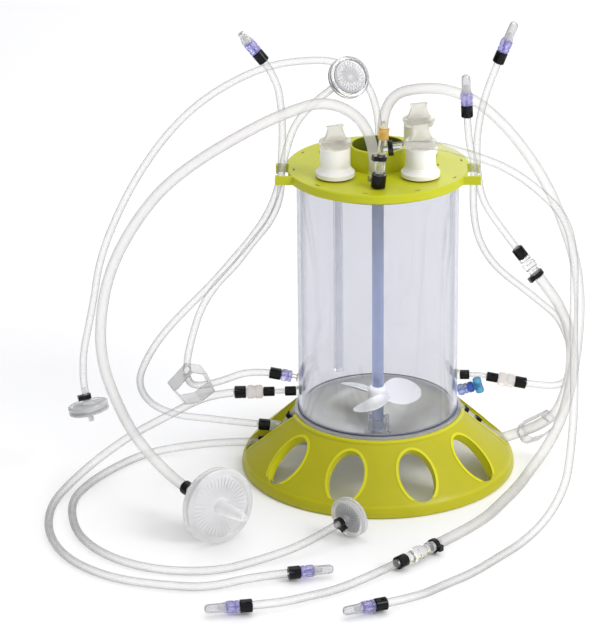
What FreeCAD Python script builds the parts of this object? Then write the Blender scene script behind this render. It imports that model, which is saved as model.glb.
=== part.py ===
import FreeCAD, Part
import math
import os
import Sketcher

# Bench bioreactor. Millimetres, +Z up, front towards -Y, floor at z = 0 under the middle of the skirt.

V = FreeCAD.Vector
doc = FreeCAD.newDocument("bioreactor")
sheet = doc.addObject("Spreadsheet::Sheet", "Dims")

SIZES = [
    ("skirt_foot_radius", 123.3), ("skirt_wall", 3.0), ("skirt_height", 54.2), ("skirt_ledge_height", 51.0),
    ("skirt_ledge_radius", 66.0), ("skirt_lip_inside", 75.4), ("skirt_lip_outside", 77.6),
    ("window_half_width", 16.2), ("window_half_height", 25.0), ("window_rim", 2.6), ("window_depth", 8.0),
    ("window_bead", 0.4), ("window_centre_radius", 101.5), ("window_centre_height", 28.8),
    ("vessel_radius", 71.5), ("vessel_wall", 3.0), ("vessel_floor", 57.6), ("dish_radius", 94.2), ("dish_centre_height", 123.2), ("dish_wall", 3.0), ("vessel_tube_foot", 53.6),
    ("vessel_tube_top", 281.0), ("vessel_rim_radius", 75.0), ("vessel_rim_top", 56.4),
    ("lid_radius", 81.0), ("lid_underside", 277.2), ("lid_top", 285.3), ("collar_radius", 25.15),
    ("collar_inside", 22.4), ("collar_top", 305.0), ("hook_reach", 89.5), ("hook_flat", 78.3),
    ("shaft_radius", 5.25), ("shaft_foot", 32.3), ("shaft_top", 283.0), ("bearing_clearance", 0.08),
    ("impeller_radius", 41.0), ("impeller_hub_radius", 9.0), ("impeller_foot", 57.5), ("impeller_top", 75.5),
    ("blade_thickness", 2.4), ("blade_pitch", 25.0),
    ("port_bore", 9.6), ("port_neck", 13.2), ("port_flange", 17.0), ("port_height", 27.5), ("port_spigot", 11.9),
    ("gasket_radius", 15.5), ("gasket_thickness", 1.5), ("plug_shank", 9.5), ("plug_collar", 14.2),
    ("plug_grip_thickness", 3.2), ("thick_hose", 9.5), ("thick_hose_bore", 6.4), ("thin_hose", 6.4),
    ("thin_hose_bore", 3.2), ("floor_hose", 7.2), ("floor_hose_bore", 4.0), ("link_hose", 4.6),
    ("link_hose_bore", 2.5), ("hose_fit", 0.05), ("barb_length", 12.0), ("sleeve_length", 10.4),
    ("sleeve_wall", 2.0), ("tie_width", 4.0), ("tie_thickness", 1.5), ("vent_filter_radius", 33.5),
    ("small_filter_radius", 18.3), ("strip_thickness", 1.5), ("clamp_width", 13.0),
]
for row, (word, size) in enumerate(SIZES, 1):
    sheet.set("A%d" % row, word.replace("_", " "))
    sheet.set("B%d" % row, str(size))
    sheet.setAlias("B%d" % row, word)
doc.recompute()


class Size:
    """A number that remembers the sheet expression it came from."""

    def __init__(self, value, text):
        self.value, self.text = float(value), text

    @staticmethod
    def of(other):
        return other if isinstance(other, Size) else Size(other, "%.6g" % other)

    def joined(self, other, sign, value):
        return Size(value, "(%s %s %s)" % (self.text, sign, other.text))

    def __add__(self, other):
        other = Size.of(other)
        return self.joined(other, "+", self.value + other.value)

    def __sub__(self, other):
        other = Size.of(other)
        return self.joined(other, "-", self.value - other.value)

    def __mul__(self, other):
        other = Size.of(other)
        return self.joined(other, "*", self.value * other.value)

    def __truediv__(self, other):
        other = Size.of(other)
        return self.joined(other, "/", self.value / other.value)


def size(word):
    return Size(getattr(sheet, word), "Dims." + word)


def mm(word):
    return float(getattr(sheet, word))


nodes = {}


def keep(node, obj, label):
    obj.Label = label
    nodes[node] = obj
    return obj


def origin_plane(body, role):
    for item in body.Origin.OriginFeatures:
        if item.Role == role:
            return item
    raise RuntimeError("no plane " + role)


def bind(target, path, value):
    if isinstance(value, Size) and "Dims." in value.text:
        target.setExpression(path, value.text)


def outline(sketch, points):
    """Closed polygon; every corner is held by dimensions taken from the sheet."""
    pts = [(Size.of(a), Size.of(b)) for a, b in points]
    count = len(pts)
    for i in range(count):
        a, b = pts[i], pts[(i + 1) % count]
        sketch.addGeometry(Part.LineSegment(V(a[0].value, a[1].value, 0), V(b[0].value, b[1].value, 0)), False)
    for i in range(count):
        sketch.addConstraint(Sketcher.Constraint("Coincident", i, 2, (i + 1) % count, 1))
    for i, (x, y) in enumerate(pts):
        if abs(x.value) < 1e-9:
            sketch.addConstraint(Sketcher.Constraint("PointOnObject", i, 1, -2))
        else:
            at = sketch.addConstraint(Sketcher.Constraint("DistanceX", -1, 1, i, 1, x.value))
            bind(sketch, "Constraints[%d]" % at, x)
        if abs(y.value) < 1e-9:
            sketch.addConstraint(Sketcher.Constraint("PointOnObject", i, 1, -1))
        else:
            at = sketch.addConstraint(Sketcher.Constraint("DistanceY", -1, 1, i, 1, y.value))
            bind(sketch, "Constraints[%d]" % at, y)


def turned_body(name, points):
    """Body made by turning a profile (radius, height) about the upright axis."""
    body = doc.addObject("PartDesign::Body", name)
    sketch = body.newObject("Sketcher::SketchObject", name + "_profile")
    sketch.AttachmentSupport = [(origin_plane(body, "XZ_Plane"), "")]
    sketch.MapMode = "FlatFace"
    outline(sketch, points)
    doc.recompute()
    turn = body.newObject("PartDesign::Revolution", name + "_turned")
    turn.Profile = sketch
    turn.ReferenceAxis = (sketch, ["V_Axis"])
    turn.Angle = 360.0
    body.Tip = turn
    sketch.Visibility = False
    doc.recompute()
    return body


def round_edges(body, name, radius, chooser):
    base = body.Tip
    edges = ["Edge%d" % (i + 1) for i, e in enumerate(base.Shape.Edges) if chooser(e)]
    fillet = body.newObject("PartDesign::Fillet", name)
    fillet.Base = (base, edges)
    fillet.Radius = radius
    body.Tip = fillet
    doc.recompute()
    return body


def circle_at(edge, radius, height):
    curve = edge.Curve
    return isinstance(curve, Part.Circle) and abs(curve.Radius - radius) < 0.02 and abs(curve.Center.z - height) < 0.02


def place(obj, x, y, z, rotation=None):
    obj.Placement = FreeCAD.Placement(V(0, 0, 0), rotation or FreeCAD.Rotation())
    for axis, value in (("x", x), ("y", y), ("z", z)):
        value = Size.of(value)
        setattr(obj.Placement.Base, axis, value.value)
    obj.Placement = FreeCAD.Placement(V(Size.of(x).value, Size.of(y).value, Size.of(z).value),
                                      rotation or FreeCAD.Rotation())
    for axis, value in (("x", x), ("y", y), ("z", z)):
        bind(obj, ".Placement.Base." + axis, value)
    return obj


def turned(points):
    """Solid of revolution about Z from (radius, height) points."""
    face = Part.Face(Part.makePolygon([V(r, 0, h) for r, h in points] + [V(points[0][0], 0, points[0][1])]))
    return face.revolve(V(0, 0, 0), V(0, 0, 1), 360)


def ring(inner, outer, low, high):
    return turned([(inner, low), (outer, low), (outer, high), (inner, high)])


def rod(radius, low, high):
    return Part.makeCylinder(radius, high - low, V(0, 0, low))


def aimed(point, direction, roll=0.0):
    turn = FreeCAD.Rotation(V(0, 0, 1), direction)
    return FreeCAD.Placement(point, turn.multiply(FreeCAD.Rotation(V(0, 0, 1), roll)))


def moved(shape, placement):
    out = shape.copy()
    out.Placement = placement.multiply(out.Placement)
    return out


def feature(node, label, shape, placement=None):
    obj = doc.addObject("Part::Feature", node)
    obj.Shape = shape
    if placement is not None:
        obj.Placement = placement
    return keep(node, obj, label)


def one(shape):
    solids = shape.Solids
    return solids[0] if len(solids) == 1 else shape


def cylinder_along(a, b, radius):
    d = b - a
    return Part.makeCylinder(radius, d.Length, a, d)

# Hose centre lines: corners of straight runs, joined by tangent arcs.
ROUTES = {
    "vent_hose": ("thick", [
        (-3, -40, 295), (-3, -40, 331.5), (-40, -52.4, 363.7), (-83.1, -67, 353.8),
        (-116.5, -73.9, 338.2), (-151.9, -80.5, 318.5), (-184, -87.6, 295.2), (-208.9, -96, 264.7),
        (-228.3, -104.6, 229.9), (-237.4, -115.1, 193.1), (-238.2, -124.1, 153.9), (-227.3, -119, 112.1),
        (-211.1, -101.5, 65.5), (-172.1, -118.5, 28.6), (-145.1, -156.2, 32.8),
    ]),
    "exhaust_hose": ("thin", [
        (1, 37, 295), (1, 37, 335.4), (-28.2, 32.2, 371.6), (-79.5, 21.4, 374.1),
        (-115.8, 12.2, 364.8), (-154.2, 3.9, 343.7), (-184, -3, 316.1), (-209.5, -11.7, 281.8),
        (-228.7, -19.7, 246.8), (-245.3, -25.6, 206), (-252.8, -23.1, 160.5), (-265.5, -33.3, 104.8),
        (-259.7, -37.1, 76.5),
    ]),
    "feed_hose": ("thin", [
        (-97.9, 10, 31.6), (-126.7, 10, 34.5), (-156, 6.6, 39.8), (-183.5, 2, 44.7),
        (-206.5, -8.8, 61), (-215.2, -22.8, 87.8), (-205, -30.3, 115.5), (-189.8, -31.3, 139),
        (-169.6, -28.1, 160.4), (-149, -25.2, 180.5), (-129.8, -22.3, 202.2), (-111, -19.8, 224.3),
        (-94.8, -17.1, 248.1), (-85.2, -17, 276.7), (-80.6, -24.3, 305.3), (-70.7, -4.1, 329.6),
        (-41.7, 7.4, 352.7), (-28.1, -16.7, 369.1),
    ]),
    "inlet_hose": ("thin", [
        (-87.2, 8, 82.3), (-113.8, 8, 87.4), (-146.1, -3.8, 78.4), (-169.6, -19.8, 82.2),
        (-170.7, -30.7, 108.5), (-165.3, -21.6, 131.7), (-157.7, -18.4, 156), (-144.1, -14, 177.7),
        (-125.8, -11.3, 195.5), (-110.9, -9, 215.9), (-93.9, -8, 236), (-85, -8.4, 259.6),
        (-84.9, -5.6, 285), (-83.2, -4.3, 310.7), (-83.4, -6.2, 333.9), (-87.6, -8.4, 369.8),
        (-104.7, -9.3, 391.5),
    ]),
    "gas_hose": ("floor", [
        (-119, 8, 65.2), (-150.8, 8, 64.4), (-190.6, -30.2, 56.8), (-221.1, -26.9, 38.4),
        (-251.1, -34.5, 18.7), (-273, -61.8, 8.2), (-286.5, -95.4, 4.7), (-288.5, -133.5, 3.8),
        (-282.1, -170.6, 3.9), (-267.8, -203.9, 3.9), (-243.9, -231.8, 3.9), (-213.8, -250.7, 3.8),
        (-179.1, -260.7, 4.4), (-142.5, -264.4, 3.8), (-102.8, -250.3, 7.5), (-64.9, -241.7, 7.5),
    ]),
    "drain_hose": ("floor", [
        (-98.3, 10, 15.1), (-136.4, 10, 15.1), (-180.3, 19.2, 6), (-213.7, 7.4, 3.9),
        (-238.7, -23.4, 3.9), (-257.9, -54.8, 3.9), (-270.4, -90.3, 4), (-267.6, -130.1, 3.9),
        (-257.7, -166.5, 3.9), (-236.7, -198.7, 3.9), (-207.1, -222.3, 3.9), (-171.8, -234.1, 3.9),
        (-133.3, -232, 3.8), (-101.6, -213.3, 4), (-59.5, -198.3, 13), (-29.1, -163, 18),
    ]),
    "supply_hose": ("thick", [
        (4, 53, 295), (4, 53, 331.8), (47.7, 32.6, 347.6), (83, 32.7, 337),
        (109.8, 32.4, 313.8), (133, 27.3, 285.6), (151.3, 20.8, 256.8), (164.7, 13.4, 225.2),
        (176, 3.8, 191.9), (179.7, -6.6, 158.7), (177.7, -16.8, 124.7), (173.5, -19.9, 89.8),
        (166.8, -15.3, 53.1), (153.9, -14.2, 22.7), (135.1, -36.4, 5.6), (125, -66.7, 6.1),
        (108.8, -99, 4.9), (93.5, -131.3, 5.2), (69.1, -165.7, 6.6), (44.9, -193.3, 7.1),
    ]),
    "supply_tail_hose": ("floor", [
        (23.4, -217.7, 7.6), (5.4, -238.1, 8), (-31.7, -266.2, 3.8), (-55.7, -283.8, 6.4),
        (-81.7, -299.8, 7.5), (-114, -305.5, 7.5),
    ]),
    "addition_hose": ("floor", [
        (8.5, -60, 322.45), (43.8, -60, 326), (79, -65.5, 317.6), (110.3, -69.5, 307.1),
        (137.3, -73.6, 288.7), (161.4, -78.9, 264.7), (168.7, -86.7, 232.8), (168.4, -96.4, 201.7),
        (167.9, -109, 170.3), (168.6, -121.7, 139.5), (168.6, -131.2, 108.4), (166.4, -138.7, 75.9),
        (161.9, -148.3, 43.9), (145.2, -162.4, 18.4), (124, -183.4, 6.9), (101.6, -209.4, 5.1),
        (80.1, -235.5, 3.8), (56.6, -257.1, 3.9), (32, -288.5, 7.5), (-2.8, -303.3, 7.5),
    ]),
    "return_hose": ("thin", [
        (77, -15, 345.2), (78.3, -15, 314.2), (84.5, -16.5, 290.1), (83.1, -17.1, 267.8),
        (84, -15.9, 244.5), (88.1, -12.8, 221.7), (98.1, -8.7, 200.9), (112.4, -4, 183.8),
        (129.6, 0.6, 168.6), (145.5, 5, 153.7), (161.4, 10.7, 137.6), (170.7, 20.5, 114.7),
        (177.4, 31.9, 91.2), (173.3, 19.9, 70.2), (153.7, 8, 69.9), (123.2, 8, 75.9),
    ]),
    "transfer_hose": ("thin", [
        (107.3, -14, 393.1), (95.2, -14, 362.5), (88.5, -10.6, 332.9), (85.9, -8.1, 307.3),
        (87.1, -7.9, 279.6), (91.8, -8.4, 254.7), (107.5, -10.3, 231.1), (128.7, -12.6, 203.1),
    ]),
    "harvest_hose": ("thick", [
        (137.8, -13.6, 191.2), (155.8, -15.5, 167.6), (165.1, -6.8, 147.3), (171.1, 0.2, 128.1),
        (173.9, 4.1, 107.6), (173.4, 3, 86.4), (169.1, 3.6, 66.7), (162.2, 4.7, 46.6),
        (147.2, 11, 31.5), (126.9, 22.4, 18), (106.9, 17, 13.6), (85, 17, 35),
    ]),
}


def unit(v):
    return V(v).normalize()


def corner_arc(a, b, c):
    """Tangent arc at corner b: tangent length 0.45 of the shorter run, so radius = 0.45 run / tan(half turn)."""
    u, w = unit(a - b), unit(c - b)
    run = min((a - b).Length, (c - b).Length)
    turn = math.pi - u.getAngle(w)
    reach = 0.45 * run
    radius = reach / math.tan(turn / 2)
    start, end = b + u * reach, b + w * reach
    bisector = unit(u + w)
    middle = b + bisector * (radius / math.cos(turn / 2) - radius)
    return start, middle, end, radius, math.degrees(turn)


def hose_path(points):
    edges, radii, here = [], [], points[0]
    for a, b, c in zip(points, points[1:], points[2:]):
        start, middle, end, radius, turn = corner_arc(a, b, c)
        edges.append(Part.LineSegment(here, start).toShape())
        edges.append(Part.Arc(start, middle, end).toShape())
        radii.append(radius)
        here = end
    edges.append(Part.LineSegment(here, points[-1]).toShape())
    return Part.Wire(edges), radii


def swept(path, start, direction, radius):
    circle = Part.Wire(Part.Circle(start, direction, radius).toShape())
    return one(path.makePipeShell([circle], True, False))


def hose(points, outer, bore):
    path, radii = hose_path(points)
    direction = points[1] - points[0]
    wall = swept(path, points[0], direction, outer / 2).cut(swept(path, points[0], direction, bore / 2))
    expected = math.pi * (outer ** 2 - bore ** 2) / 4 * path.Length
    return one(wall), path.Length, min(radii), wall.Volume / expected


hoses = {}
for name, (kind, route) in ROUTES.items():
    points = [V(*p) for p in route]
    outer, bore = mm(kind + "_hose"), mm(kind + "_hose_bore")
    shape, length, radius, share = hose(points, outer, bore)
    feature(name, name.replace("_", " "), shape)
    hoses[name] = {"start": points[0], "out": unit(points[1] - points[0]), "end": points[-1],
                   "in": unit(points[-1] - points[-2]), "outer": outer / 2, "barb": bore / 2 - mm("hose_fit")}
    print("%s length %.0f, smallest bend %.1f, volume/expected %.4f" % (name, length, radius, share))

# ---- skirt: one openwork moulding -------------------------------------------------
wall, foot = size("skirt_wall"), size("skirt_foot_radius")
top, ledge = size("skirt_height"), size("skirt_ledge_height")
FOOT_CORNER = 14 - 5.3 * (mm("skirt_height") - 17.5) / (mm("skirt_foot_radius") - 6.3 - mm("skirt_lip_outside"))
skirt_body = turned_body("SkirtWall", [
    (foot - 1.2, 0), (foot, 1.2), (foot, FOOT_CORNER), (size("skirt_lip_outside") + 1, top - 3.5),
    (size("skirt_lip_outside"), top), (size("skirt_lip_inside"), top), (size("skirt_lip_inside"), ledge),
    (size("skirt_ledge_radius"), ledge), (size("skirt_ledge_radius"), ledge - wall),
    (size("skirt_lip_inside") + 0.4, ledge - wall), (foot - 7.4, 11.8), (foot - 3.0, 7.6), (foot - 3.0, 0)])
foot_r = mm("skirt_foot_radius")
round_edges(skirt_body, "FootTurn", 16.0, lambda e: circle_at(e, foot_r, FOOT_CORNER))
slope_low, slope_high = (mm("skirt_foot_radius") - 5.3, 14.0), (mm("skirt_lip_outside") + 1, mm("skirt_height") - 3.5)
run = math.hypot(slope_high[0] - slope_low[0], slope_high[1] - slope_low[1])
normal = ((slope_high[1] - slope_low[1]) / run, (slope_low[0] - slope_high[0]) / run)


def slope_slab(inside, outside):
    """Conical slab lying parallel to the skirt's slope."""
    pts = [(slope_low[0] + normal[0] * d, slope_low[1] + normal[1] * d) for d in (inside, outside)]
    pts += [(slope_high[0] + normal[0] * d, slope_high[1] + normal[1] * d) for d in (outside, inside)]
    return turned(pts)


slab = slope_slab(-mm("window_depth"), mm("window_bead"))
half_w, half_h = mm("window_half_width"), mm("window_half_height")


def oval(grow, azimuth, depth=26.0):
    """Oval prism square to the slope; azimuth is measured from the front, positive to the right."""
    ellipse = Part.Ellipse(V(0, 0, 0), half_h + grow, half_w + grow).toShape()
    prism = Part.Face(Part.Wire(ellipse)).extrude(V(0, 0, depth))
    prism.translate(V(0, 0, -depth / 2))
    out_x, out_z = normal
    frame = FreeCAD.Matrix(-out_z, 0, out_x, mm("window_centre_radius"), 0, 1, 0, 0,
                           out_x, 0, out_z, mm("window_centre_height"), 0, 0, 0, 1)
    prism = prism.transformShape(frame)
    prism.rotate(V(0, 0, 0), V(0, 0, 1), azimuth - 90.0)
    return prism


windows = (-52, -16, 20, 56, 128, 164, -160, -124)
collars = [oval(mm("window_rim"), a).common(slab).cut(oval(0, a, 60)) for a in windows]
cutters = [oval(0, a, 60) for a in windows]


def slot(side, corners, grow):
    """Hose slot through one side of the skirt, open at the top; corners are (y, z)."""
    cy = sum(y for y, z in corners) / len(corners)
    pts = [V(side * 58, y + (grow if y > cy else -grow), z - (grow if z < 20 else 0)) for y, z in corners]
    return Part.Face(Part.makePolygon(pts + [pts[0]])).extrude(V(side * 75, 0, 0))


right_slot = [(-4.0, 60), (-2.4, 50), (8.1, 15), (11.5, 9.0), (15, 7.5), (26, 7.5), (30, 9.0), (33.5, 15), (37.2, 50), (38.0, 60)]
left_slot = [(-19.0, 60), (-15.7, 50), (-3.7, 15), (-1.0, 9.0), (2, 7.5), (16, 7.5), (19.5, 9.0), (21.3, 15), (29.4, 50), (31.0, 60)]
flanges = []
for side, corners in ((1, right_slot), (-1, left_slot)):
    flanges.append(slot(side, corners, 1.9).common(slab).cut(slot(side, corners, 0)))
    cutters.append(slot(side, corners, 0))
collar_obj = doc.addObject("Part::Feature", "SkirtRims")
collar_obj.Shape = Part.makeCompound(collars + flanges)
cut_obj = doc.addObject("Part::Feature", "SkirtOpenings")
cut_obj.Shape = Part.makeCompound(cutters)
whole = skirt_body.Tip.Shape
for extra in collars + flanges:
    whole = whole.fuse(extra)
for cutter in cutters:
    whole = whole.cut(cutter)
whole = whole.removeSplitter()
feature("base_skirt", "base skirt", max(whole.Solids, key=lambda s: s.Volume))

# ---- vessel ---------------------------------------------------------------------------
radius, glass = size("vessel_radius"), size("vessel_wall")
tube_body = turned_body("VesselTube", [
    (radius - glass, size("vessel_tube_foot")), (radius, size("vessel_tube_foot")),
    (radius, size("vessel_tube_top")), (radius - glass, size("vessel_tube_top"))])
bottom_body = turned_body("VesselBottom", [
    (0, 22), (66.4, 22), (66.4, 51.9), (68, 51.9), (68, ledge), (size("vessel_rim_radius"), ledge),
    (size("vessel_rim_radius"), size("vessel_rim_top")), (radius + 0.1, size("vessel_rim_top")),
    (radius + 0.1, size("vessel_tube_foot")), (radius - glass - 0.1, size("vessel_tube_foot")),
    (radius - glass - 0.1, size("vessel_floor")), (67.0, size("vessel_floor")), (66.0, 56.0), (0, 56.0)])
dish_out = doc.addObject("Part::Sphere", "DishOutside")
dish_in = doc.addObject("Part::Sphere", "DishInside")
for ball, across in ((dish_out, size("dish_radius") + size("dish_wall")), (dish_in, size("dish_radius"))):
    ball.Radius = across.value
    bind(ball, "Radius", across)
    place(ball, 0, 0, size("dish_centre_height"))
doc.recompute()

port_left_up = hoses["inlet_hose"]
valve_left_end, gas = hoses["gas_hose"]["start"], hoses["gas_hose"]["out"]
wall_left_low = valve_left_end - gas * (47.5 / abs(gas.x))
valve_right_end, back = hoses["return_hose"]["end"], hoses["return_hose"]["in"] * -1


def bore_hole(point, direction, radius):
    return cylinder_along(point - direction * 14, point + direction * 10, radius)


up_dir = port_left_up["out"]
wall_left_up = port_left_up["start"] - up_dir * ((-mm("vessel_radius") - port_left_up["start"].x) / -up_dir.x)
wall_right = V(mm("vessel_radius"), 8, 82.4)
valve_dir = unit(V(0.96, 0, 0.28))
wall_valve = V(mm("vessel_radius"), 8, 66.6)
holes = [bore_hole(wall_left_up, up_dir, 2.2), bore_hole(wall_left_low, gas, 2.2),
         bore_hole(wall_right, V(1, 0, 0), 2.2), bore_hole(wall_valve, valve_dir, 2.2)]
tube_shape = tube_body.Shape
for hole in holes:
    tube_shape = tube_shape.cut(hole)
feature("vessel_tube", "vessel tube", one(tube_shape))

feed, drain, harvest = hoses["feed_hose"], hoses["drain_hose"], hoses["harvest_hose"]


def barbed(line, end_key, dir_key, sign):
    """Barb stub that fills a hose end."""
    point, into = line[end_key], line[dir_key] * sign
    return cylinder_along(point - into * 0.3, point + into * mm("barb_length"), line["barb"])


feed_corner = feed["start"] - feed["out"] * 12.0
drain_top = V(-20, 10, 32.5)
drain_corner = V(drain_top.x, 10, drain["start"].z)
harvest_out = harvest["in"] * -1
harvest_root = harvest["end"] - harvest_out * 22.5
bottom = bottom_body.Shape
bottom = bottom.cut(rod(66.4, 18, 51.9).cut(dish_out.Shape))
for piece in (
        cylinder_along(V(-70.5, 10, 53.0), feed_corner, 3.1), Part.makeSphere(3.1, feed_corner),
        cylinder_along(feed_corner, feed["start"], 3.1), cylinder_along(feed["start"] - feed["out"] * 9, feed["start"] - feed["out"] * 0.05, 4.6),
        barbed(feed, "start", "out", 1.0),
        cylinder_along(drain_top, drain_corner, 4.0), Part.makeSphere(4.0, drain_corner),
        cylinder_along(drain_corner, drain["start"] - drain["out"] * 0.05, 4.0), barbed(drain, "start", "out", 1.0),
        cylinder_along(harvest_root, harvest["end"] - harvest_out * 0.05, 4.4), barbed(harvest, "end", "in", -1.0)):
    bottom = bottom.fuse(piece)
bottom = bottom.cut(dish_in.Shape.common(rod(66.2, 18, 70)))
bottom = bottom.cut(rod(mm("vessel_radius") - mm("vessel_wall") - 0.1, mm("vessel_floor"), 90))
bottom = bottom.fuse(rod(13.5, 27.5, 30.3))
feature("vessel_bottom", "vessel bottom with moulded ports", one(bottom.removeSplitter()))

# ---- lid: disc, drive collar and hose hooks in one moulding -------------------------
lid_r, lid_low, lid_high = size("lid_radius"), size("lid_underside"), size("lid_top")
collar, inside, collar_top = size("collar_radius"), size("collar_inside"), size("collar_top")
bearing_outer = 9.0
lid_body = turned_body("LidDisc", [
    (bearing_outer, lid_low), (bearing_outer, lid_high), (inside, lid_high), (inside, collar_top - 0.8), (inside + 0.8, collar_top),
    (collar - 0.8, collar_top), (collar, collar_top - 0.8), (collar, lid_high), (lid_r - 1, lid_high), (lid_r, lid_high - 1),
    (lid_r, lid_low + 1), (lid_r - 1, lid_low), (radius + 0.15, lid_low), (radius + 0.15, size("vessel_tube_top") + 0.1),
    (radius - glass - 0.15, size("vessel_tube_top") + 0.1), (radius - glass - 0.15, lid_low - 4.2), (64, lid_low - 4.2), (64, lid_low)])
lid = lid_body.Shape
low, high, reach, flat = mm("lid_underside") + 0.3, mm("lid_top"), mm("hook_reach"), mm("hook_flat")
for side in (1, -1):
    lid = lid.cut(Part.makeBox(20, 31.8, 20, V(flat if side > 0 else -flat - 20, -28.9, 270)))
    for y, tip in ((-31.1, -28.9), (2.9, -1.1)):
        x0, x1 = 72.0, reach
        arm = Part.makeBox(x1 - x0, 2.2, high - low, V(x0 if side > 0 else -x1, y, low))
        end = Part.makeBox(2.0, 4.2, high - low, V(reach - 2.0 if side > 0 else -reach, min(y, tip), low))
        lid = lid.fuse(arm).fuse(end)
PORTS = {"left": (-37, -31, 26), "right": (37, -31, 24), "rear": (36, 30, 18)}
for x, y, turn in PORTS.values():
    lid = lid.cut(Part.makeCylinder(mm("port_spigot") + 0.1, 30, V(x, y, 265)))
BARBS = {"vent_hose": 3.0, "exhaust_hose": 2.2, "supply_hose": 3.0}
for name in BARBS:
    p = hoses[name]["start"]
    lid = lid.cut(Part.makeCylinder(BARBS[name] + 0.2, 30, V(p.x, p.y, 265)))
chain_foot, chain_dir = V(0, -60, mm("lid_top")), unit(V(0.1, 0, 0.995))
lid = lid.cut(Part.makeCylinder(3.2, 30, V(0, -60, 265)))
lid = lid.cut(Part.makeCylinder(6.7, 33, V(-36, 30, 250)))
for k in range(10):
    a = math.radians(-90 - 8.6 + 36 * k)
    mark = Part.makeBox(1.6, 5.0, 3.0, V(73.7, -2.5, high - 1.6))
    mark.rotate(V(0, 0, 0), V(0, 0, 1), math.degrees(a))
    lid = lid.cut(mark)
for x, y in ((52, 0), (-52, 35)):
    lid = lid.cut(Part.makeBox(1.6, 4.5, 3.0, V(x, y - 2.2, high - 1.6)))
feature("lid", "lid with drive collar and hose hooks", one(lid.removeSplitter()))

stubs = []
for name, pipe in BARBS.items():
    line = hoses[name]
    s = line["start"]
    h = mm("lid_top")
    body = turned([(0, -8), (pipe, -8), (pipe, 0), (6.0, 0), (6.0, 3.0), (4.9, 3.6), (4.9, s.z - h - 0.05), (line["barb"], s.z - h - 0.05),
                   (line["barb"], s.z - h + mm("barb_length")), (0, s.z - h + mm("barb_length"))])
    stubs.append(moved(body, FreeCAD.Placement(V(s.x, s.y, h), FreeCAD.Rotation())))
feature("lid_barbs", "lid hose barbs", Part.makeCompound(stubs))

# ---- probe ports, gaskets and screw plugs ----------------------------------------------
gaskets = []
for side, (x, y, turn) in PORTS.items():
    spigot, flange, neck, bore = size("port_spigot"), size("port_flange"), size("port_neck"), size("port_bore")
    thick, tall = size("gasket_thickness"), size("port_height")
    port = turned_body("Port" + side.capitalize(), [
        (bore, 0), (spigot, 0), (spigot, thick + 12), (flange, thick + 12), (flange, thick + 15.6), (flange - 1.6, thick + 17.2),
        (neck + 0.9, thick + 19), (neck, thick + 21), (neck, tall + 12), (bore, tall + 12)])
    place(port, x, y, lid_high - 12)
    keep("probe_port_" + side, port, "probe port " + side)
    shank, head, grip = size("plug_shank"), size("plug_collar"), size("plug_grip_thickness")
    plug = turned_body("Plug" + side.capitalize(), [
        (0, 6), (shank - 1.5, 6), (shank, 8), (shank, tall + 12.05), (13.1, tall + 12.05), (13.1, tall + 14.4), (head, tall + 14.9), (head, tall + 17.4),
        (head - 1.6, tall + 18.1), (0, tall + 18.1)])
    sketch = plug.newObject("Sketcher::SketchObject", "Grip" + side.capitalize())
    sketch.AttachmentSupport = [(origin_plane(plug, "XZ_Plane"), "")]
    sketch.MapMode = "FlatFace"
    base = tall + 17.1
    for_half = [(11.3, 0), (10.2, 2.4), (8.3, 6.3), (7.1, 10.1), (6.85, 11.5), (7.65, 13.9), (7.4, 14.45)]
    corners = [(Size.of(a) + 20, base + b) for a, b in for_half] + [(Size.of(-a) + 20, base + b) for a, b in reversed(for_half)]
    corners = [(Size(a.value - 20, "%.6g" % (a.value - 20)), b) for a, b in corners]
    outline(sketch, corners)
    doc.recompute()
    pad = plug.newObject("PartDesign::Pad", "GripPad" + side.capitalize())
    pad.Profile = sketch
    pad.Length = grip.value
    bind(pad, "Length", grip)
    pad.Midplane = True
    plug.Tip = pad
    sketch.Visibility = False
    doc.recompute()
    place(plug, x, y, lid_high - 12, FreeCAD.Rotation(V(0, 0, 1), turn))
    keep("probe_plug_" + side, plug, "probe plug " + side)
    gasket = ring(mm("port_spigot") + 0.05, mm("gasket_radius"), 0, mm("gasket_thickness"))
    gaskets.append(moved(gasket, FreeCAD.Placement(V(x, y, mm("lid_top")), FreeCAD.Rotation())))
feature("port_gaskets", "port gaskets", Part.makeCompound(gaskets))

# ---- agitator -------------------------------------------------------------------------
shaft_r, play = size("shaft_radius"), size("bearing_clearance")
shaft = turned_body("Shaft", [
    (0, size("shaft_foot")), (shaft_r - 1, size("shaft_foot")), (shaft_r, size("shaft_foot") + 1),
    (shaft_r, size("shaft_top")), (0, size("shaft_top"))])
keep("impeller_shaft", shaft, "impeller shaft")
hub_r, hub_low, hub_high = mm("impeller_hub_radius"), mm("impeller_foot"), mm("impeller_top")
rotor = turned([(mm("shaft_radius"), hub_low), (hub_r - 0.8, hub_low), (hub_r, hub_low + 1), (hub_r, hub_high - 4), (hub_r - 2.2, hub_high), (mm("shaft_radius"), hub_high)])
blade_len = (mm("impeller_radius") - 6.0) / 2
for k in range(3):
    ellipse = Part.Ellipse(V(0, 0, 0), max(17.2, blade_len), min(17.2, blade_len)).toShape()
    blade = Part.Face(Part.Wire(ellipse)).extrude(V(0, 0, mm("blade_thickness")))
    blade.translate(V(0, 0, -mm("blade_thickness") / 2))
    blade.rotate(V(0, 0, 0), V(0, 1, 0), mm("blade_pitch"))
    blade.translate(V(0, 6.0 + blade_len, (hub_low + hub_high) / 2 + 1.0))
    blade.rotate(V(0, 0, 0), V(0, 0, 1), 120 * k + 47)
    rotor = rotor.fuse(blade)
rotor = rotor.cut(rod(mm("shaft_radius"), hub_low - 20, hub_high + 20))
rotor = rotor.common(rod(mm("impeller_radius"), 40, 100)).removeSplitter()
feature("impeller", "marine impeller", one(rotor))
top_of_shaft, head_top = mm("shaft_top"), mm("lid_top") - 0.3
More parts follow.
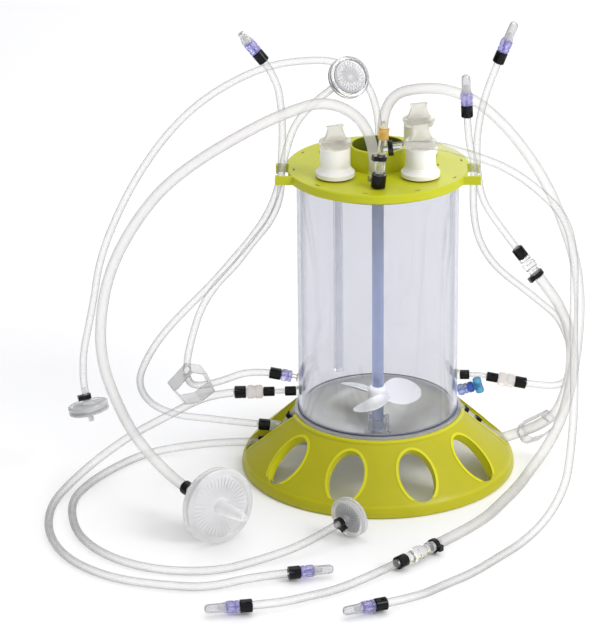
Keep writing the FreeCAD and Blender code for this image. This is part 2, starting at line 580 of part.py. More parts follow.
coupling = turned([(mm("shaft_radius"), 279.3), (7.6, 279.3), (7.6, head_top - 0.6), (7.0, head_top), (0, head_top), (0, top_of_shaft),
                   (mm("shaft_radius"), top_of_shaft)])
for k in range(2):
    notch = Part.makeBox(18, 2.2, 3.0, V(-9, -1.1, head_top - 1.2))
    notch.rotate(V(0, 0, 0), V(0, 0, 1), 90 * k)
    coupling = coupling.cut(notch)
feature("drive_coupling", "drive coupling", one(coupling))
bearing = turned_body("UpperBearing", [
    (shaft_r + play, lid_low - 15), (11.5, lid_low - 15), (11.5, lid_low - 4), (13.5, lid_low - 3), (13.5, lid_low), (bearing_outer, lid_low),
    (bearing_outer, lid_high), (8.0, lid_high), (8.0, lid_high - 6.6), (shaft_r + play, lid_high - 6.6)])
keep("upper_bearing", bearing, "upper bearing")
step = turned([(0, 30.3), (12.5, 30.3), (12.5, 32.7), (8.2, 33.8), (8.2, 43.8), (mm("shaft_radius") + mm("bearing_clearance"), 43.8),
               (mm("shaft_radius") + mm("bearing_clearance"), 32.2), (0, 32.2)])
for k in range(4):
    fin = Part.makeBox(5.6, 2.6, 12.6, V(7.4, -1.3, 30.7))
    fin.rotate(V(0, 0, 0), V(0, 0, 1), 45 + 90 * k)
    step = step.fuse(fin)
feature("lower_bearing", "lower bearing", one(step.removeSplitter()))

# ---- inside the vessel ----------------------------------------------------------------
dip = turned([(2.4, 78), (4.4, 78), (4.4, 262), (6.5, 264), (6.5, mm("lid_underside") + 5.6), (2.4, mm("lid_underside") + 5.6)])
feature("dip_tube", "dip tube", dip, FreeCAD.Placement(V(-36, 30, 0), FreeCAD.Rotation()))

# ---- wall ports, link tubes, check valves ---------------------------------------------
vessel_skin = Part.makeCylinder(mm("vessel_radius") + 0.02, 60, V(0, 0, 54))


def wall_fitting(node, label, wall_point, direction, shape):
    body = moved(shape, aimed(wall_point, direction)).cut(vessel_skin)
    stem = cylinder_along(wall_point - direction * 3.6, wall_point + direction * 1.5, 2.15)
    body = body.fuse(stem)
    return feature(node, label, one(body.removeSplitter()))


gap = (port_left_up["start"] - wall_left_up).Length
wall_fitting("port_fitting_left_upper", "wall port, left upper", wall_left_up, up_dir,
             turned([(0, -3), (4.6, -3), (4.6, 1.6), (5.8, 2.2), (5.8, gap - 1.2), (4.8, gap - 0.05), (port_left_up["barb"], gap - 0.05),
                     (port_left_up["barb"], gap + 12), (0, gap + 12)]))
link_bore = mm("link_hose_bore") / 2 - mm("hose_fit")
wall_fitting("port_fitting_left_lower", "wall port, left lower", wall_left_low, gas,
             turned([(0, -3), (4.6, -3), (4.6, 2.05), (link_bore, 2.05), (link_bore, 11.5), (0, 11.5)]))
wall_fitting("port_fitting_right", "wall port, right", wall_right, V(1, 0, 0),
             turned([(0, -3), (4.6, -3), (4.6, 2.05), (link_bore, 2.05), (link_bore, 11.0), (0, 11.0)]))

floor_barb, thin_barb = hoses["gas_hose"]["barb"], hoses["return_hose"]["barb"]


def check_valve(out_barb):
    return turned([(0, -9.5), (link_bore, -9.5), (link_bore, 0), (5.0, 0), (5.2, 0.8), (6.2, 1.2), (6.2, 6.2), (5.6, 6.6), (5.6, 8.4), (6.2, 8.8),
                   (6.2, 13.8), (5.2, 14.2), (5.0, 15.0), (out_barb, 15.0), (out_barb, 27.0), (0, 27.0)])


feature("check_valve_left", "check valve, left", check_valve(floor_barb), aimed(valve_left_end - gas * 15.05, gas))
feature("check_valve_right", "check valve, right", check_valve(thin_barb), aimed(valve_right_end - back * 15.05, back))
left_a, left_b = wall_left_low + gas * 2.1, valve_left_end - gas * 15.1
link_outer, link_inner = mm("link_hose") / 2, mm("link_hose_bore") / 2
left_link = ring(link_inner, link_outer, 0, (left_b - left_a).Length)
feature("link_tube_left", "link tube, left", left_link, aimed(left_a, gas))
right_a, right_b = wall_right + V(2.1, 0, 0), valve_right_end - back * 15.1
meet_x = 90.0
meet = V(meet_x, 8, right_b.z + (right_b.x - meet_x) * abs(back.z / back.x))
wall_link, link_len, link_bend, link_share = hose([right_a, V(85.0, 8, right_a.z), meet, right_b], 2 * link_outer, 2 * link_inner)
print("right link %.1f bend %.1f share %.4f" % (link_len, link_bend, link_share))
feature("link_tube_right", "link tube, right", wall_link)

# ---- sampling valve -----------------------------------------------------------------
wall_fitting("sampling_valve_body", "sampling valve body", wall_valve, valve_dir,
             turned([(0, -3), (4.4, -3), (4.4, 2.0), (5.4, 3.0), (5.4, 6.5), (4.6, 7.2), (4.6, 9.0), (5.8, 9.8), (5.8, 15.4), (2.6, 15.4), (2.6, 22.0), (0, 22.0)]))
knob = turned([(2.66, 15.5), (4.2, 15.5), (4.2, 20.0), (2.66, 20.0)])
bar = Part.makeCylinder(3.9, 12.6, V(-6.3, 0, 20), V(1, 0, 0))
bar = bar.fuse(Part.makeCylinder(2.8, 14.4, V(-7.2, 0, 20), V(1, 0, 0))).cut(rod(2.66, 10, 22.1))
knob = knob.fuse(bar).removeSplitter()
feature("sampling_valve_knob", "sampling valve knob", one(knob), aimed(wall_valve, valve_dir))

# ---- fitting chain at the front of the lid ---------------------------------------------
arm = hoses["addition_hose"]
tee = turned([(0, -6), (2.6, -6), (2.6, 1.0), (3.9, 1.0), (3.9, 14), (4.4, 14.6), (4.4, 22), (3.6, 23), (3.5, 44.2), (2.4, 44.2), (2.4, 51), (0, 51)])
tee = moved(tee, aimed(chain_foot, chain_dir))
arm_root = arm["start"] - arm["out"] * 6.0
tee = tee.fuse(cylinder_along(arm_root, arm["start"] - arm["out"] * 0.05, 3.7)).fuse(barbed(arm, "start", "out", 1.0))
tee = tee.cut(Part.makeBox(30, 30, 30, V(-15, -75, mm("lid_top") - 30)).cut(Part.makeCylinder(3.1, 40, V(0, -60, 250)))) 
feature("front_adapter", "tee adapter", one(tee.removeSplitter()))
cap = turned([(2.45, 44.4), (4.3, 44.4), (4.7, 45.0), (4.7, 53.8), (3.9, 54.8), (0, 54.8), (0, 51.1), (2.45, 51.1)])
for k in range(6):
    flat_cut = Part.makeBox(4, 12, 7.6, V(4.35, -6, 45.8))
    flat_cut.rotate(V(0, 0, 0), V(0, 0, 1), 60 * k)
    cap = cap.cut(flat_cut)
feature("adapter_cap", "adapter cap", one(cap), aimed(chain_foot, chain_dir))

# ---- filters -----------------------------------------------------------------------------
small = mm("small_filter_radius")


def small_filter(barb, face):
    """Disc filter, hose side towards -Z, other face towards +Z."""
    r = small
    disc = [(0, -19.0), (barb, -19.0), (barb, -7.05), (4.2, -7.05), (4.4, -3.6), (r - 4, -3.2), (r - 2.6, -3.9), (r - 0.6, -3.9), (r, -3.2),
            (r, 3.2), (r - 0.6, 3.9), (r - 2.6, 3.9), (r - 4, 3.2)]
    if face > 4:
        disc += [(4.0, 3.5), (3.4, 4.4), (2.4, face), (0, face)]
    else:
        disc += [(4.0, 3.2), (3.4, 3.6), (0, 3.6)]
    body = turned(disc)
    for k in range(12):
        rib = Part.makeBox(r - 9.0, 0.9, 0.7, V(5.6, -0.45, 2.95))
        rib.rotate(V(0, 0, 0), V(0, 0, 1), 30 * k)
        body = body.fuse(rib)
    return one(body.removeSplitter())


big = mm("vent_filter_radius")
vent = hoses["vent_hose"]
vent_disc = turned([(0, -25), (vent["barb"], -25), (vent["barb"], -13.05), (6.2, -13.05), (6.6, -5.0), (26, -3.6), (28.4, -4.8), (big - 0.9, -4.8), (big, -4.0),
                    (big, 4.0), (big - 0.9, 4.8), (28.4, 4.8), (26, 3.6), (7.2, 4.6), (5.6, 7.0), (5.0, 17.0), (5.6, 18.0), (4.6, 28.0), (4.9, 29.0),
                    (3.0, 41.5), (2.4, 42.0), (0, 42.0)])
for k in range(16):
    rib = Part.makeBox(18.6, 1.0, 0.8, V(7.4, -0.5, 3.9))
    rib.rotate(V(0, 0, 0), V(0, 0, 1), 22.5 * k)
    vent_disc = vent_disc.fuse(rib)
feature("vent_filter", "vent filter", one(vent_disc.removeSplitter()), aimed(vent["end"] + vent["in"] * 13.0, vent["in"]))
FILTERS = {"exhaust_filter": ("exhaust_hose", 7.0, 12.5), "feed_filter": ("feed_hose", 7.0, 3.6), "drain_filter": ("drain_hose", 7.0, 9.0)}
for node, (name, offset, face) in FILTERS.items():
    line = hoses[name]
    feature(node, node.replace("_", " "), small_filter(line["barb"], face), aimed(line["end"] + line["in"] * offset, line["in"]))

# ---- line connectors, end caps, sleeves and ties --------------------------------------------
sleeves, ties, collars_out = [], [], []


def sleeve(bore, length, slots=True):
    outer = bore + mm("sleeve_wall")
    body = turned([(bore, 0), (outer - 0.5, 0), (outer, 0.5), (outer, length - 0.5), (outer - 0.5, length), (bore, length)])
    if slots:
        for k in range(4):
            notch = Part.makeBox(outer + 1, 1.2, length * 0.55, V(0, -0.6, length * 0.45))
            notch.rotate(V(0, 0, 0), V(0, 0, 1), 45 + 90 * k)
            body = body.cut(notch)
    return one(body)


def tie(bore, roll=0.0):
    body = ring(bore, bore + mm("tie_thickness"), -mm("tie_width") / 2, mm("tie_width") / 2)
    head = Part.makeBox(3.6, 5.0, 4.6, V(bore + 0.6, -2.5, -2.3))
    head = head.cut(rod(bore, -5, 5))
    body = body.fuse(head).removeSplitter()
    body.rotate(V(0, 0, 0), V(0, 0, 1), roll)
    return one(body)


def sleeve_at(point, direction, hose_radius, length=None, slots=True):
    length = length or mm("sleeve_length")
    sleeves.append(moved(sleeve(hose_radius + mm("hose_fit"), length, slots), aimed(point, direction)))


def tie_at(point, direction, hose_radius, towards):
    """Cable tie round a hose, its head on the side given by the towards vector."""
    frame = aimed(point, direction)
    local = frame.Rotation.inverted().multVec(towards)
    ties.append(moved(tie(hose_radius + mm("hose_fit"), math.degrees(math.atan2(local.y, local.x))), frame))


ENDS = {  # node of the cap: hose, which end, cap length, tip radius
    "end_cap_inlet": ("inlet_hose", "end", 11.0, 2.6), "end_cap_transfer": ("transfer_hose", "start", 17.0, 3.6),
    "end_cap_return": ("return_hose", "start", 16.0, 3.6), "end_cap_gas": ("gas_hose", "end", 16.5, 3.6),
    "end_cap_supply": ("supply_tail_hose", "end", 17.5, 3.6), "end_cap_addition": ("addition_hose", "end", 16.5, 3.6)}
for node, (name, which, cap_len, tip) in ENDS.items():
    line = hoses[name]
    point = line[which]
    out = line["in"] if which == "end" else line["out"] * -1
    r, b = line["outer"], line["barb"]
    body = [(0, -12), (b, -12), (b, 0.05), (4.6, 0.05), (5.3, 0.9), (5.3, 3.4), (4.9, 3.8), (4.9, 4.6), (5.3, 5.0), (5.3, 10.2), (4.2, 11.4), (2.0, 11.4), (2.0, 18.6), (0, 18.6)]
    collars_out.append(moved(turned(body), aimed(point, out)))
    sleeve_at(point - out * 0.3, out * -1, r)
    wide = 4.25 if tip > 3 else 5.2
    shell = [(2.06, 11.5), (wide, 11.5), (wide, 13.0), (wide - 0.35, 13.6), (tip + 0.25, 11.5 + cap_len - 2.6), (tip - 0.6, 11.5 + cap_len - 0.7),
             (tip - 1.9, 11.5 + cap_len), (0, 11.5 + cap_len), (0, 18.7), (2.06, 18.7)]
    feature(node, node.replace("_", " "), turned(shell), aimed(point, out))
feature("line_connectors", "line connectors", Part.makeCompound(collars_out))


def quick_connect(length, barb_a, barb_b):
    s = length
    return turned([(0, -12), (barb_a, -12), (barb_a, 0.05), (5.0, 0.05), (5.4, 1.0), (5.4, 3.2), (4.3, 4.2), (4.3, s * 0.36), (6.4, s * 0.42), (6.4, s * 0.58),
                   (5.8, s * 0.62), (5.8, s * 0.8), (4.6, s * 0.84), (4.9, s - 0.05), (barb_b - 0.12, s - 0.05), (barb_b - 0.12, s + 8), (0, s + 8)])


for node, first, second in (("quick_connect_transfer", "transfer_hose", "harvest_hose"), ("quick_connect_supply", "supply_hose", "supply_tail_hose")):
    a, b = hoses[first], hoses[second]
    span = (b["start"] - a["end"]).Length
    feature(node, node.replace("_", " "), quick_connect(span, a["barb"], b["barb"]), aimed(a["end"], a["in"]))
    print(node, "span %.1f, out of line %.2f deg" % (span, math.degrees(a["in"].getAngle(b["start"] - a["end"]))))
sleeve_at(hoses["transfer_hose"]["end"] - hoses["transfer_hose"]["in"] * 0.3, hoses["transfer_hose"]["in"] * -1, hoses["transfer_hose"]["outer"])
sleeve_at(hoses["supply_tail_hose"]["start"] + hoses["supply_tail_hose"]["out"] * 0.3, hoses["supply_tail_hose"]["out"], hoses["supply_tail_hose"]["outer"])
tie_at(hoses["harvest_hose"]["start"] + hoses["harvest_hose"]["out"] * 4.5, hoses["harvest_hose"]["out"], hoses["harvest_hose"]["outer"], V(-0.6, -0.5, -0.6))
tie_at(hoses["supply_hose"]["end"] - hoses["supply_hose"]["in"] * 4.5, hoses["supply_hose"]["in"], hoses["supply_hose"]["outer"], V(0.5, -0.85, 0))

# sleeves and ties on the vessel side of the hoses
sleeve_at(port_left_up["start"] + up_dir * 0.3, up_dir, port_left_up["outer"])
sleeve_at(hoses["gas_hose"]["start"] + gas * 0.3, gas, hoses["gas_hose"]["outer"])
sleeve_at(feed["start"] + feed["out"] * 0.3, feed["out"], feed["outer"])
sleeve_at(drain["start"] + drain["out"] * 0.3, drain["out"], drain["outer"])
sleeve_at(valve_right_end + back * 0.3, back, hoses["return_hose"]["outer"])
sleeve_at(left_a + gas * 0.3, gas, link_outer, 10.2)
sleeve_at(left_b - gas * 0.3, gas * -1, link_outer, 10.2)
sleeve_at(right_b - back * 0.3, back * -1, link_outer, 10.2)
sleeve_at(right_a + V(0.3, 0, 0), V(1, 0, 0), link_outer, 8.6)
sleeves.append(moved(ring(4.0, 6.4, 1.2, 12.6), aimed(chain_foot, chain_dir)))
tie_at(chain_foot + chain_dir * 27.5, chain_dir, 3.62, V(-1, -0.4, 0))
tie_at(arm["start"] + arm["out"] * 2.3, arm["out"], arm["outer"], V(0, -0.8, -0.6))
tie_at(vent["end"] - vent["in"] * 9.0, vent["in"], vent["outer"], V(0.3, 0, 0.9))
tie_at(hoses["exhaust_hose"]["end"] - hoses["exhaust_hose"]["in"] * 3.4, hoses["exhaust_hose"]["in"], hoses["exhaust_hose"]["outer"], V(-1, -0.3, 0))
tie_at(hoses["drain_hose"]["end"] - hoses["drain_hose"]["in"] * 6.0, hoses["drain_hose"]["in"], hoses["drain_hose"]["outer"], V(0.3, -0.7, -0.6))
tie_at(harvest["end"] - harvest["in"] * 4.0, harvest["in"], harvest["outer"], V(-0.3, -0.5, 0.9))
tie_at(V(-70.5, 10, 53.0) + (feed_corner - V(-70.5, 10, 53.0)) * 0.55, unit(feed_corner - V(-70.5, 10, 53.0)), 3.12, V(0.3, -0.9, 0.3))
tie_at(harvest["end"] - harvest_out * 10.0, harvest_out, 4.42, V(-0.2, -0.9, 0.3))
feature("barb_sleeves", "barb sleeves", Part.makeCompound(sleeves))
feature("cable_ties", "cable ties", Part.makeCompound(ties))

# ---- pinch clamps: bent strip mouldings round a hose -----------------------------------------


def strip_loop(points, across, closed):
    """Strip of constant thickness following the points, drawn out along the across direction."""
    thick, width = mm("strip_thickness"), mm("clamp_width")
    n = unit(across)
    count = len(points)
    out = None
    pairs = [(i, (i + 1) % count) for i in range(count if closed else count - 1)]
    for i, j in pairs:
        a, b = points[i], points[j]
        along = unit(b - a)
        side = unit(n.cross(along))
        quad = [a - side * thick / 2, b - side * thick / 2, b + side * thick / 2, a + side * thick / 2]
        quad = [q - n * width / 2 for q in quad]
        slab_ = Part.Face(Part.makePolygon(quad + [quad[0]])).extrude(n * width)
        out = slab_ if out is None else out.fuse(slab_)
    for p in points:
        out = out.fuse(Part.makeCylinder(thick / 2, width, p - n * width / 2, n))
    return out


def tunnel(name, grow):
    kind, route = ROUTES[name]
    points = [V(*p) for p in route]
    path, radii = hose_path(points)
    return swept(path, points[0], points[1] - points[0], mm(kind + "_hose") / 2 + grow)


inlet = [V(*p) for p in ROUTES["inlet_hose"][1]]
across_left = unit((inlet[2] - inlet[3]).cross(inlet[4] - inlet[3]))
left_loop = [V(-184.2, -30.5, 86.4), V(-168.4, -27.3, 103.5), V(-156.5, -17.6, 97.5), V(-150.3, -5.3, 75.7), V(-162.0, -9.4, 67.6), V(-175.0, -17.7, 68.3)]
left_clamp = strip_loop(left_loop, across_left, True).cut(tunnel("inlet_hose", 0.5))
feature("pinch_clamp_left", "pinch clamp, left", one(left_clamp.removeSplitter()))
harvest_pts = [V(*p) for p in ROUTES["harvest_hose"][1]]
line_dir = unit(harvest_pts[9] - harvest_pts[7])
up_side = unit(V(0, 0, 1) - line_dir * line_dir.z)
centre = (harvest_pts[8] * 0.62 + harvest_pts[9] * 0.26 + harvest_pts[7] * 0.12)
across_right = unit(line_dir.cross(up_side))
shape_2d = [(-17, -1.5), (-14.5, 7.0), (12, 7.6), (17, 3.5), (17.5, -6.0), (14, -9.6), (2, -11.5), (-12, -9.6)]
right_loop = [centre + line_dir * a + up_side * b for a, b in shape_2d]
right_clamp = strip_loop(right_loop, across_right, False).cut(tunnel("harvest_hose", 0.5))
feature("pinch_clamp_right", "pinch clamp, right", max(right_clamp.removeSplitter().Solids, key=lambda s: s.Volume))

# ---- check and write -------------------------------------------------------------------
doc.recompute()
for obj in doc.Objects:
    if "Invalid" in obj.State or "Error" in obj.State:
        raise RuntimeError("%s is in state %s" % (obj.Name, obj.State))
os.makedirs("parts", exist_ok=True)
lowest = 1e9
for node, obj in nodes.items():
    shape = obj.Shape
    if shape.isNull() or not shape.isValid() or not shape.Solids:
        raise RuntimeError("bad shape: " + node)
    box = shape.BoundBox
    heights = [p.z for p in shape.tessellate(0.2)[0]]
    lowest = min(lowest, min(heights))
    print("%-26s solids %2d volume %9.0f z %.1f..%.1f" % (node, len(shape.Solids), shape.Volume, min(heights), max(heights)))
    shape.exportStep("parts/%s.step" % node)
print(len(nodes), "nodes, lowest point %.3f" % lowest)
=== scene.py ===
import math

import bmesh
import bpy
from mathutils import Matrix, Quaternion, Vector


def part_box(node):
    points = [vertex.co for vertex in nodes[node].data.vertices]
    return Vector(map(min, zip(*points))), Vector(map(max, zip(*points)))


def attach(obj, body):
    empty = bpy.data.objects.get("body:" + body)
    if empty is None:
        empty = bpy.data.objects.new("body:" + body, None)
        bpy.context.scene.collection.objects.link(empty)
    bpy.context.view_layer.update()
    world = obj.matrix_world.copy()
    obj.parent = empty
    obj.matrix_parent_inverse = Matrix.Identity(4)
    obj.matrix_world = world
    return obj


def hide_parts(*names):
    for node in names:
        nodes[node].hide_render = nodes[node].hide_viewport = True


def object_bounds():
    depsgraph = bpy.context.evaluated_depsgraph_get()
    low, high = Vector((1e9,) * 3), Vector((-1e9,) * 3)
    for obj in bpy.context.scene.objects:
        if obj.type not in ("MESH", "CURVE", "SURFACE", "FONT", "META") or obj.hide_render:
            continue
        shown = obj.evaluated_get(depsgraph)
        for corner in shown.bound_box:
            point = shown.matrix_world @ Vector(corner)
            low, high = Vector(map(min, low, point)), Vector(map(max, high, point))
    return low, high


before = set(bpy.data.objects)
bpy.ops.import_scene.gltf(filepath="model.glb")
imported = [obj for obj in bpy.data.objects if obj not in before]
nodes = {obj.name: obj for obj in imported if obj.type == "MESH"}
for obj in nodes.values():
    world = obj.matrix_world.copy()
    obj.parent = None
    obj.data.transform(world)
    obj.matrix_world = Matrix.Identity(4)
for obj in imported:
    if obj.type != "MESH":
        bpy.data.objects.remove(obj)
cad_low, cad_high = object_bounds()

V = Vector
scene = bpy.context.scene

# ---------------------------------------------------------------- camera, first of all
tilt, pan = math.radians(21.94), math.radians(1.369)
look = V((0, math.cos(tilt), -math.sin(tilt)))
side = V((1, 0, 0))
up = side.cross(look)
look2 = look * math.cos(pan) - side * math.sin(pan)
side2 = side * math.cos(pan) + look * math.sin(pan)
cam_data = bpy.data.cameras.new("Camera")
cam = bpy.data.objects.new("Camera", cam_data)
scene.collection.objects.link(cam)
cam_data.sensor_width = 36.0
cam_data.lens = 182.70
cam_data.clip_start, cam_data.clip_end = 0.1, 60.0
cam.matrix_world = Matrix((
    (side2.x, up.x, -look2.x, 0.0),
    (side2.y, up.y, -look2.y, -2.7035),
    (side2.z, up.z, -look2.z, 1.2266),
    (0, 0, 0, 1)))
scene.camera = cam

# ---------------------------------------------------------------- hose routes, in metres
# kind, control points of each hose's smooth centre line
BORE = {"thick": (0.0095, 0.0064), "thin": (0.0064, 0.0032), "floor": (0.0072, 0.0040)}
ROUTES = {
    "vent_hose": ("thick", [
        (-0.0030, -0.0400, 0.2950), (-0.0030, -0.0400, 0.3315), (-0.0400, -0.0524, 0.3637),
        (-0.0831, -0.0670, 0.3538), (-0.1165, -0.0739, 0.3382), (-0.1519, -0.0805, 0.3185),
        (-0.1840, -0.0876, 0.2952), (-0.2089, -0.0960, 0.2647), (-0.2283, -0.1046, 0.2299),
        (-0.2374, -0.1151, 0.1931), (-0.2382, -0.1241, 0.1539), (-0.2273, -0.1190, 0.1121),
        (-0.2111, -0.1015, 0.0655), (-0.1721, -0.1185, 0.0286), (-0.1451, -0.1562, 0.0328),
    ]),
    "exhaust_hose": ("thin", [
        (0.0010, 0.0370, 0.2950), (0.0010, 0.0370, 0.3354), (-0.0282, 0.0322, 0.3716),
        (-0.0795, 0.0214, 0.3741), (-0.1158, 0.0122, 0.3648), (-0.1542, 0.0039, 0.3437),
        (-0.1840, -0.0030, 0.3161), (-0.2095, -0.0117, 0.2818), (-0.2287, -0.0197, 0.2468),
        (-0.2453, -0.0256, 0.2060), (-0.2528, -0.0231, 0.1605), (-0.2655, -0.0333, 0.1048),
        (-0.2597, -0.0371, 0.0765),
    ]),
    "feed_hose": ("thin", [
        (-0.0979, 0.0100, 0.0316), (-0.1267, 0.0100, 0.0345), (-0.1560, 0.0066, 0.0398),
        (-0.1835, 0.0020, 0.0447), (-0.2065, -0.0088, 0.0610), (-0.2152, -0.0228, 0.0878),
        (-0.2050, -0.0303, 0.1155), (-0.1898, -0.0313, 0.1390), (-0.1696, -0.0281, 0.1604),
        (-0.1490, -0.0252, 0.1805), (-0.1298, -0.0223, 0.2022), (-0.1110, -0.0198, 0.2243),
        (-0.0948, -0.0171, 0.2481), (-0.0852, -0.0170, 0.2767), (-0.0806, -0.0243, 0.3053),
        (-0.0707, -0.0041, 0.3296), (-0.0417, 0.0074, 0.3527), (-0.0281, -0.0167, 0.3691),
    ]),
    "inlet_hose": ("thin", [
        (-0.0872, 0.0080, 0.0823), (-0.1138, 0.0080, 0.0874), (-0.1461, -0.0038, 0.0784),
        (-0.1696, -0.0198, 0.0822), (-0.1707, -0.0307, 0.1085), (-0.1653, -0.0216, 0.1317),
        (-0.1577, -0.0184, 0.1560), (-0.1441, -0.0140, 0.1777), (-0.1258, -0.0113, 0.1955),
        (-0.1109, -0.0090, 0.2159), (-0.0939, -0.0080, 0.2360), (-0.0850, -0.0084, 0.2596),
        (-0.0849, -0.0056, 0.2850), (-0.0832, -0.0043, 0.3107), (-0.0834, -0.0062, 0.3339),
        (-0.0876, -0.0084, 0.3698), (-0.1047, -0.0093, 0.3915),
    ]),
    "gas_hose": ("floor", [
        (-0.1190, 0.0080, 0.0652), (-0.1508, 0.0080, 0.0644), (-0.1906, -0.0302, 0.0568),
        (-0.2211, -0.0269, 0.0384), (-0.2511, -0.0345, 0.0187), (-0.2730, -0.0618, 0.0082),
        (-0.2865, -0.0954, 0.0047), (-0.2885, -0.1335, 0.0038), (-0.2821, -0.1706, 0.0039),
        (-0.2678, -0.2039, 0.0039), (-0.2439, -0.2318, 0.0039), (-0.2138, -0.2507, 0.0038),
        (-0.1791, -0.2607, 0.0044), (-0.1425, -0.2644, 0.0038), (-0.1028, -0.2503, 0.0075),
        (-0.0649, -0.2417, 0.0075),
    ]),
    "drain_hose": ("floor", [
        (-0.0983, 0.0100, 0.0151), (-0.1364, 0.0100, 0.0151), (-0.1803, 0.0192, 0.0060),
        (-0.2137, 0.0074, 0.0039), (-0.2387, -0.0234, 0.0039), (-0.2579, -0.0548, 0.0039),
        (-0.2704, -0.0903, 0.0040), (-0.2676, -0.1301, 0.0039), (-0.2577, -0.1665, 0.0039),
        (-0.2367, -0.1987, 0.0039), (-0.2071, -0.2223, 0.0039), (-0.1718, -0.2341, 0.0039),
        (-0.1333, -0.2320, 0.0038), (-0.1016, -0.2133, 0.0040), (-0.0595, -0.1983, 0.0130),
        (-0.0291, -0.1630, 0.0180),
    ]),
    "supply_hose": ("thick", [
        (0.0040, 0.0530, 0.2950), (0.0040, 0.0530, 0.3318), (0.0477, 0.0326, 0.3476),
        (0.0830, 0.0327, 0.3370), (0.1098, 0.0324, 0.3138), (0.1330, 0.0273, 0.2856),
        (0.1513, 0.0208, 0.2568), (0.1647, 0.0134, 0.2252), (0.1760, 0.0038, 0.1919),
        (0.1797, -0.0066, 0.1587), (0.1777, -0.0168, 0.1247), (0.1735, -0.0199, 0.0898),
        (0.1668, -0.0153, 0.0531), (0.1539, -0.0142, 0.0227), (0.1351, -0.0364, 0.0056),
        (0.1250, -0.0667, 0.0061), (0.1088, -0.0990, 0.0049), (0.0935, -0.1313, 0.0052),
        (0.0691, -0.1657, 0.0066), (0.0449, -0.1933, 0.0071),
    ]),
    "supply_tail_hose": ("floor", [
        (0.0234, -0.2177, 0.0076), (0.0054, -0.2381, 0.0080), (-0.0317, -0.2662, 0.0038),
        (-0.0557, -0.2838, 0.0064), (-0.0817, -0.2998, 0.0075), (-0.1140, -0.3055, 0.0075),
    ]),
    "addition_hose": ("floor", [
        (0.0085, -0.0600, 0.3225), (0.0438, -0.0600, 0.3260), (0.0790, -0.0655, 0.3176),
        (0.1103, -0.0695, 0.3071), (0.1373, -0.0736, 0.2887), (0.1614, -0.0789, 0.2647),
        (0.1687, -0.0867, 0.2328), (0.1684, -0.0964, 0.2017), (0.1679, -0.1090, 0.1703),
        (0.1686, -0.1217, 0.1395), (0.1686, -0.1312, 0.1084), (0.1664, -0.1387, 0.0759),
        (0.1619, -0.1483, 0.0439), (0.1452, -0.1624, 0.0184), (0.1240, -0.1834, 0.0069),
        (0.1016, -0.2094, 0.0051), (0.0801, -0.2355, 0.0038), (0.0566, -0.2571, 0.0039),
        (0.0320, -0.2885, 0.0075), (-0.0028, -0.3033, 0.0075),
    ]),
    "return_hose": ("thin", [
        (0.0770, -0.0150, 0.3452), (0.0783, -0.0150, 0.3142), (0.0845, -0.0165, 0.2901),
        (0.0831, -0.0171, 0.2678), (0.0840, -0.0159, 0.2445), (0.0881, -0.0128, 0.2217),
        (0.0981, -0.0087, 0.2009), (0.1124, -0.0040, 0.1838), (0.1296, 0.0006, 0.1686),
        (0.1455, 0.0050, 0.1537), (0.1614, 0.0107, 0.1376), (0.1707, 0.0205, 0.1147),
        (0.1774, 0.0319, 0.0912), (0.1733, 0.0199, 0.0702), (0.1537, 0.0080, 0.0699),
        (0.1232, 0.0080, 0.0759),
    ]),
    "transfer_hose": ("thin", [
        (0.1073, -0.0140, 0.3931), (0.0952, -0.0140, 0.3625), (0.0885, -0.0106, 0.3329),
        (0.0859, -0.0081, 0.3073), (0.0871, -0.0079, 0.2796), (0.0918, -0.0084, 0.2547),
        (0.1075, -0.0103, 0.2311), (0.1287, -0.0126, 0.2031),
    ]),
    "harvest_hose": ("thick", [
        (0.1378, -0.0136, 0.1912), (0.1558, -0.0155, 0.1676), (0.1651, -0.0068, 0.1473),
        (0.1711, 0.0002, 0.1281), (0.1739, 0.0041, 0.1076), (0.1734, 0.0030, 0.0864),
        (0.1691, 0.0036, 0.0667), (0.1622, 0.0047, 0.0466), (0.1472, 0.0110, 0.0315),
        (0.1269, 0.0224, 0.0180), (0.1069, 0.0170, 0.0136), (0.0850, 0.0170, 0.0350),
    ]),
}

MM = 0.001
SLOPE = (0.1233, 0.009063, 0.0786, 0.0507)  # foot radius, corner height, head radius, head height: the skirt's outer line, metres


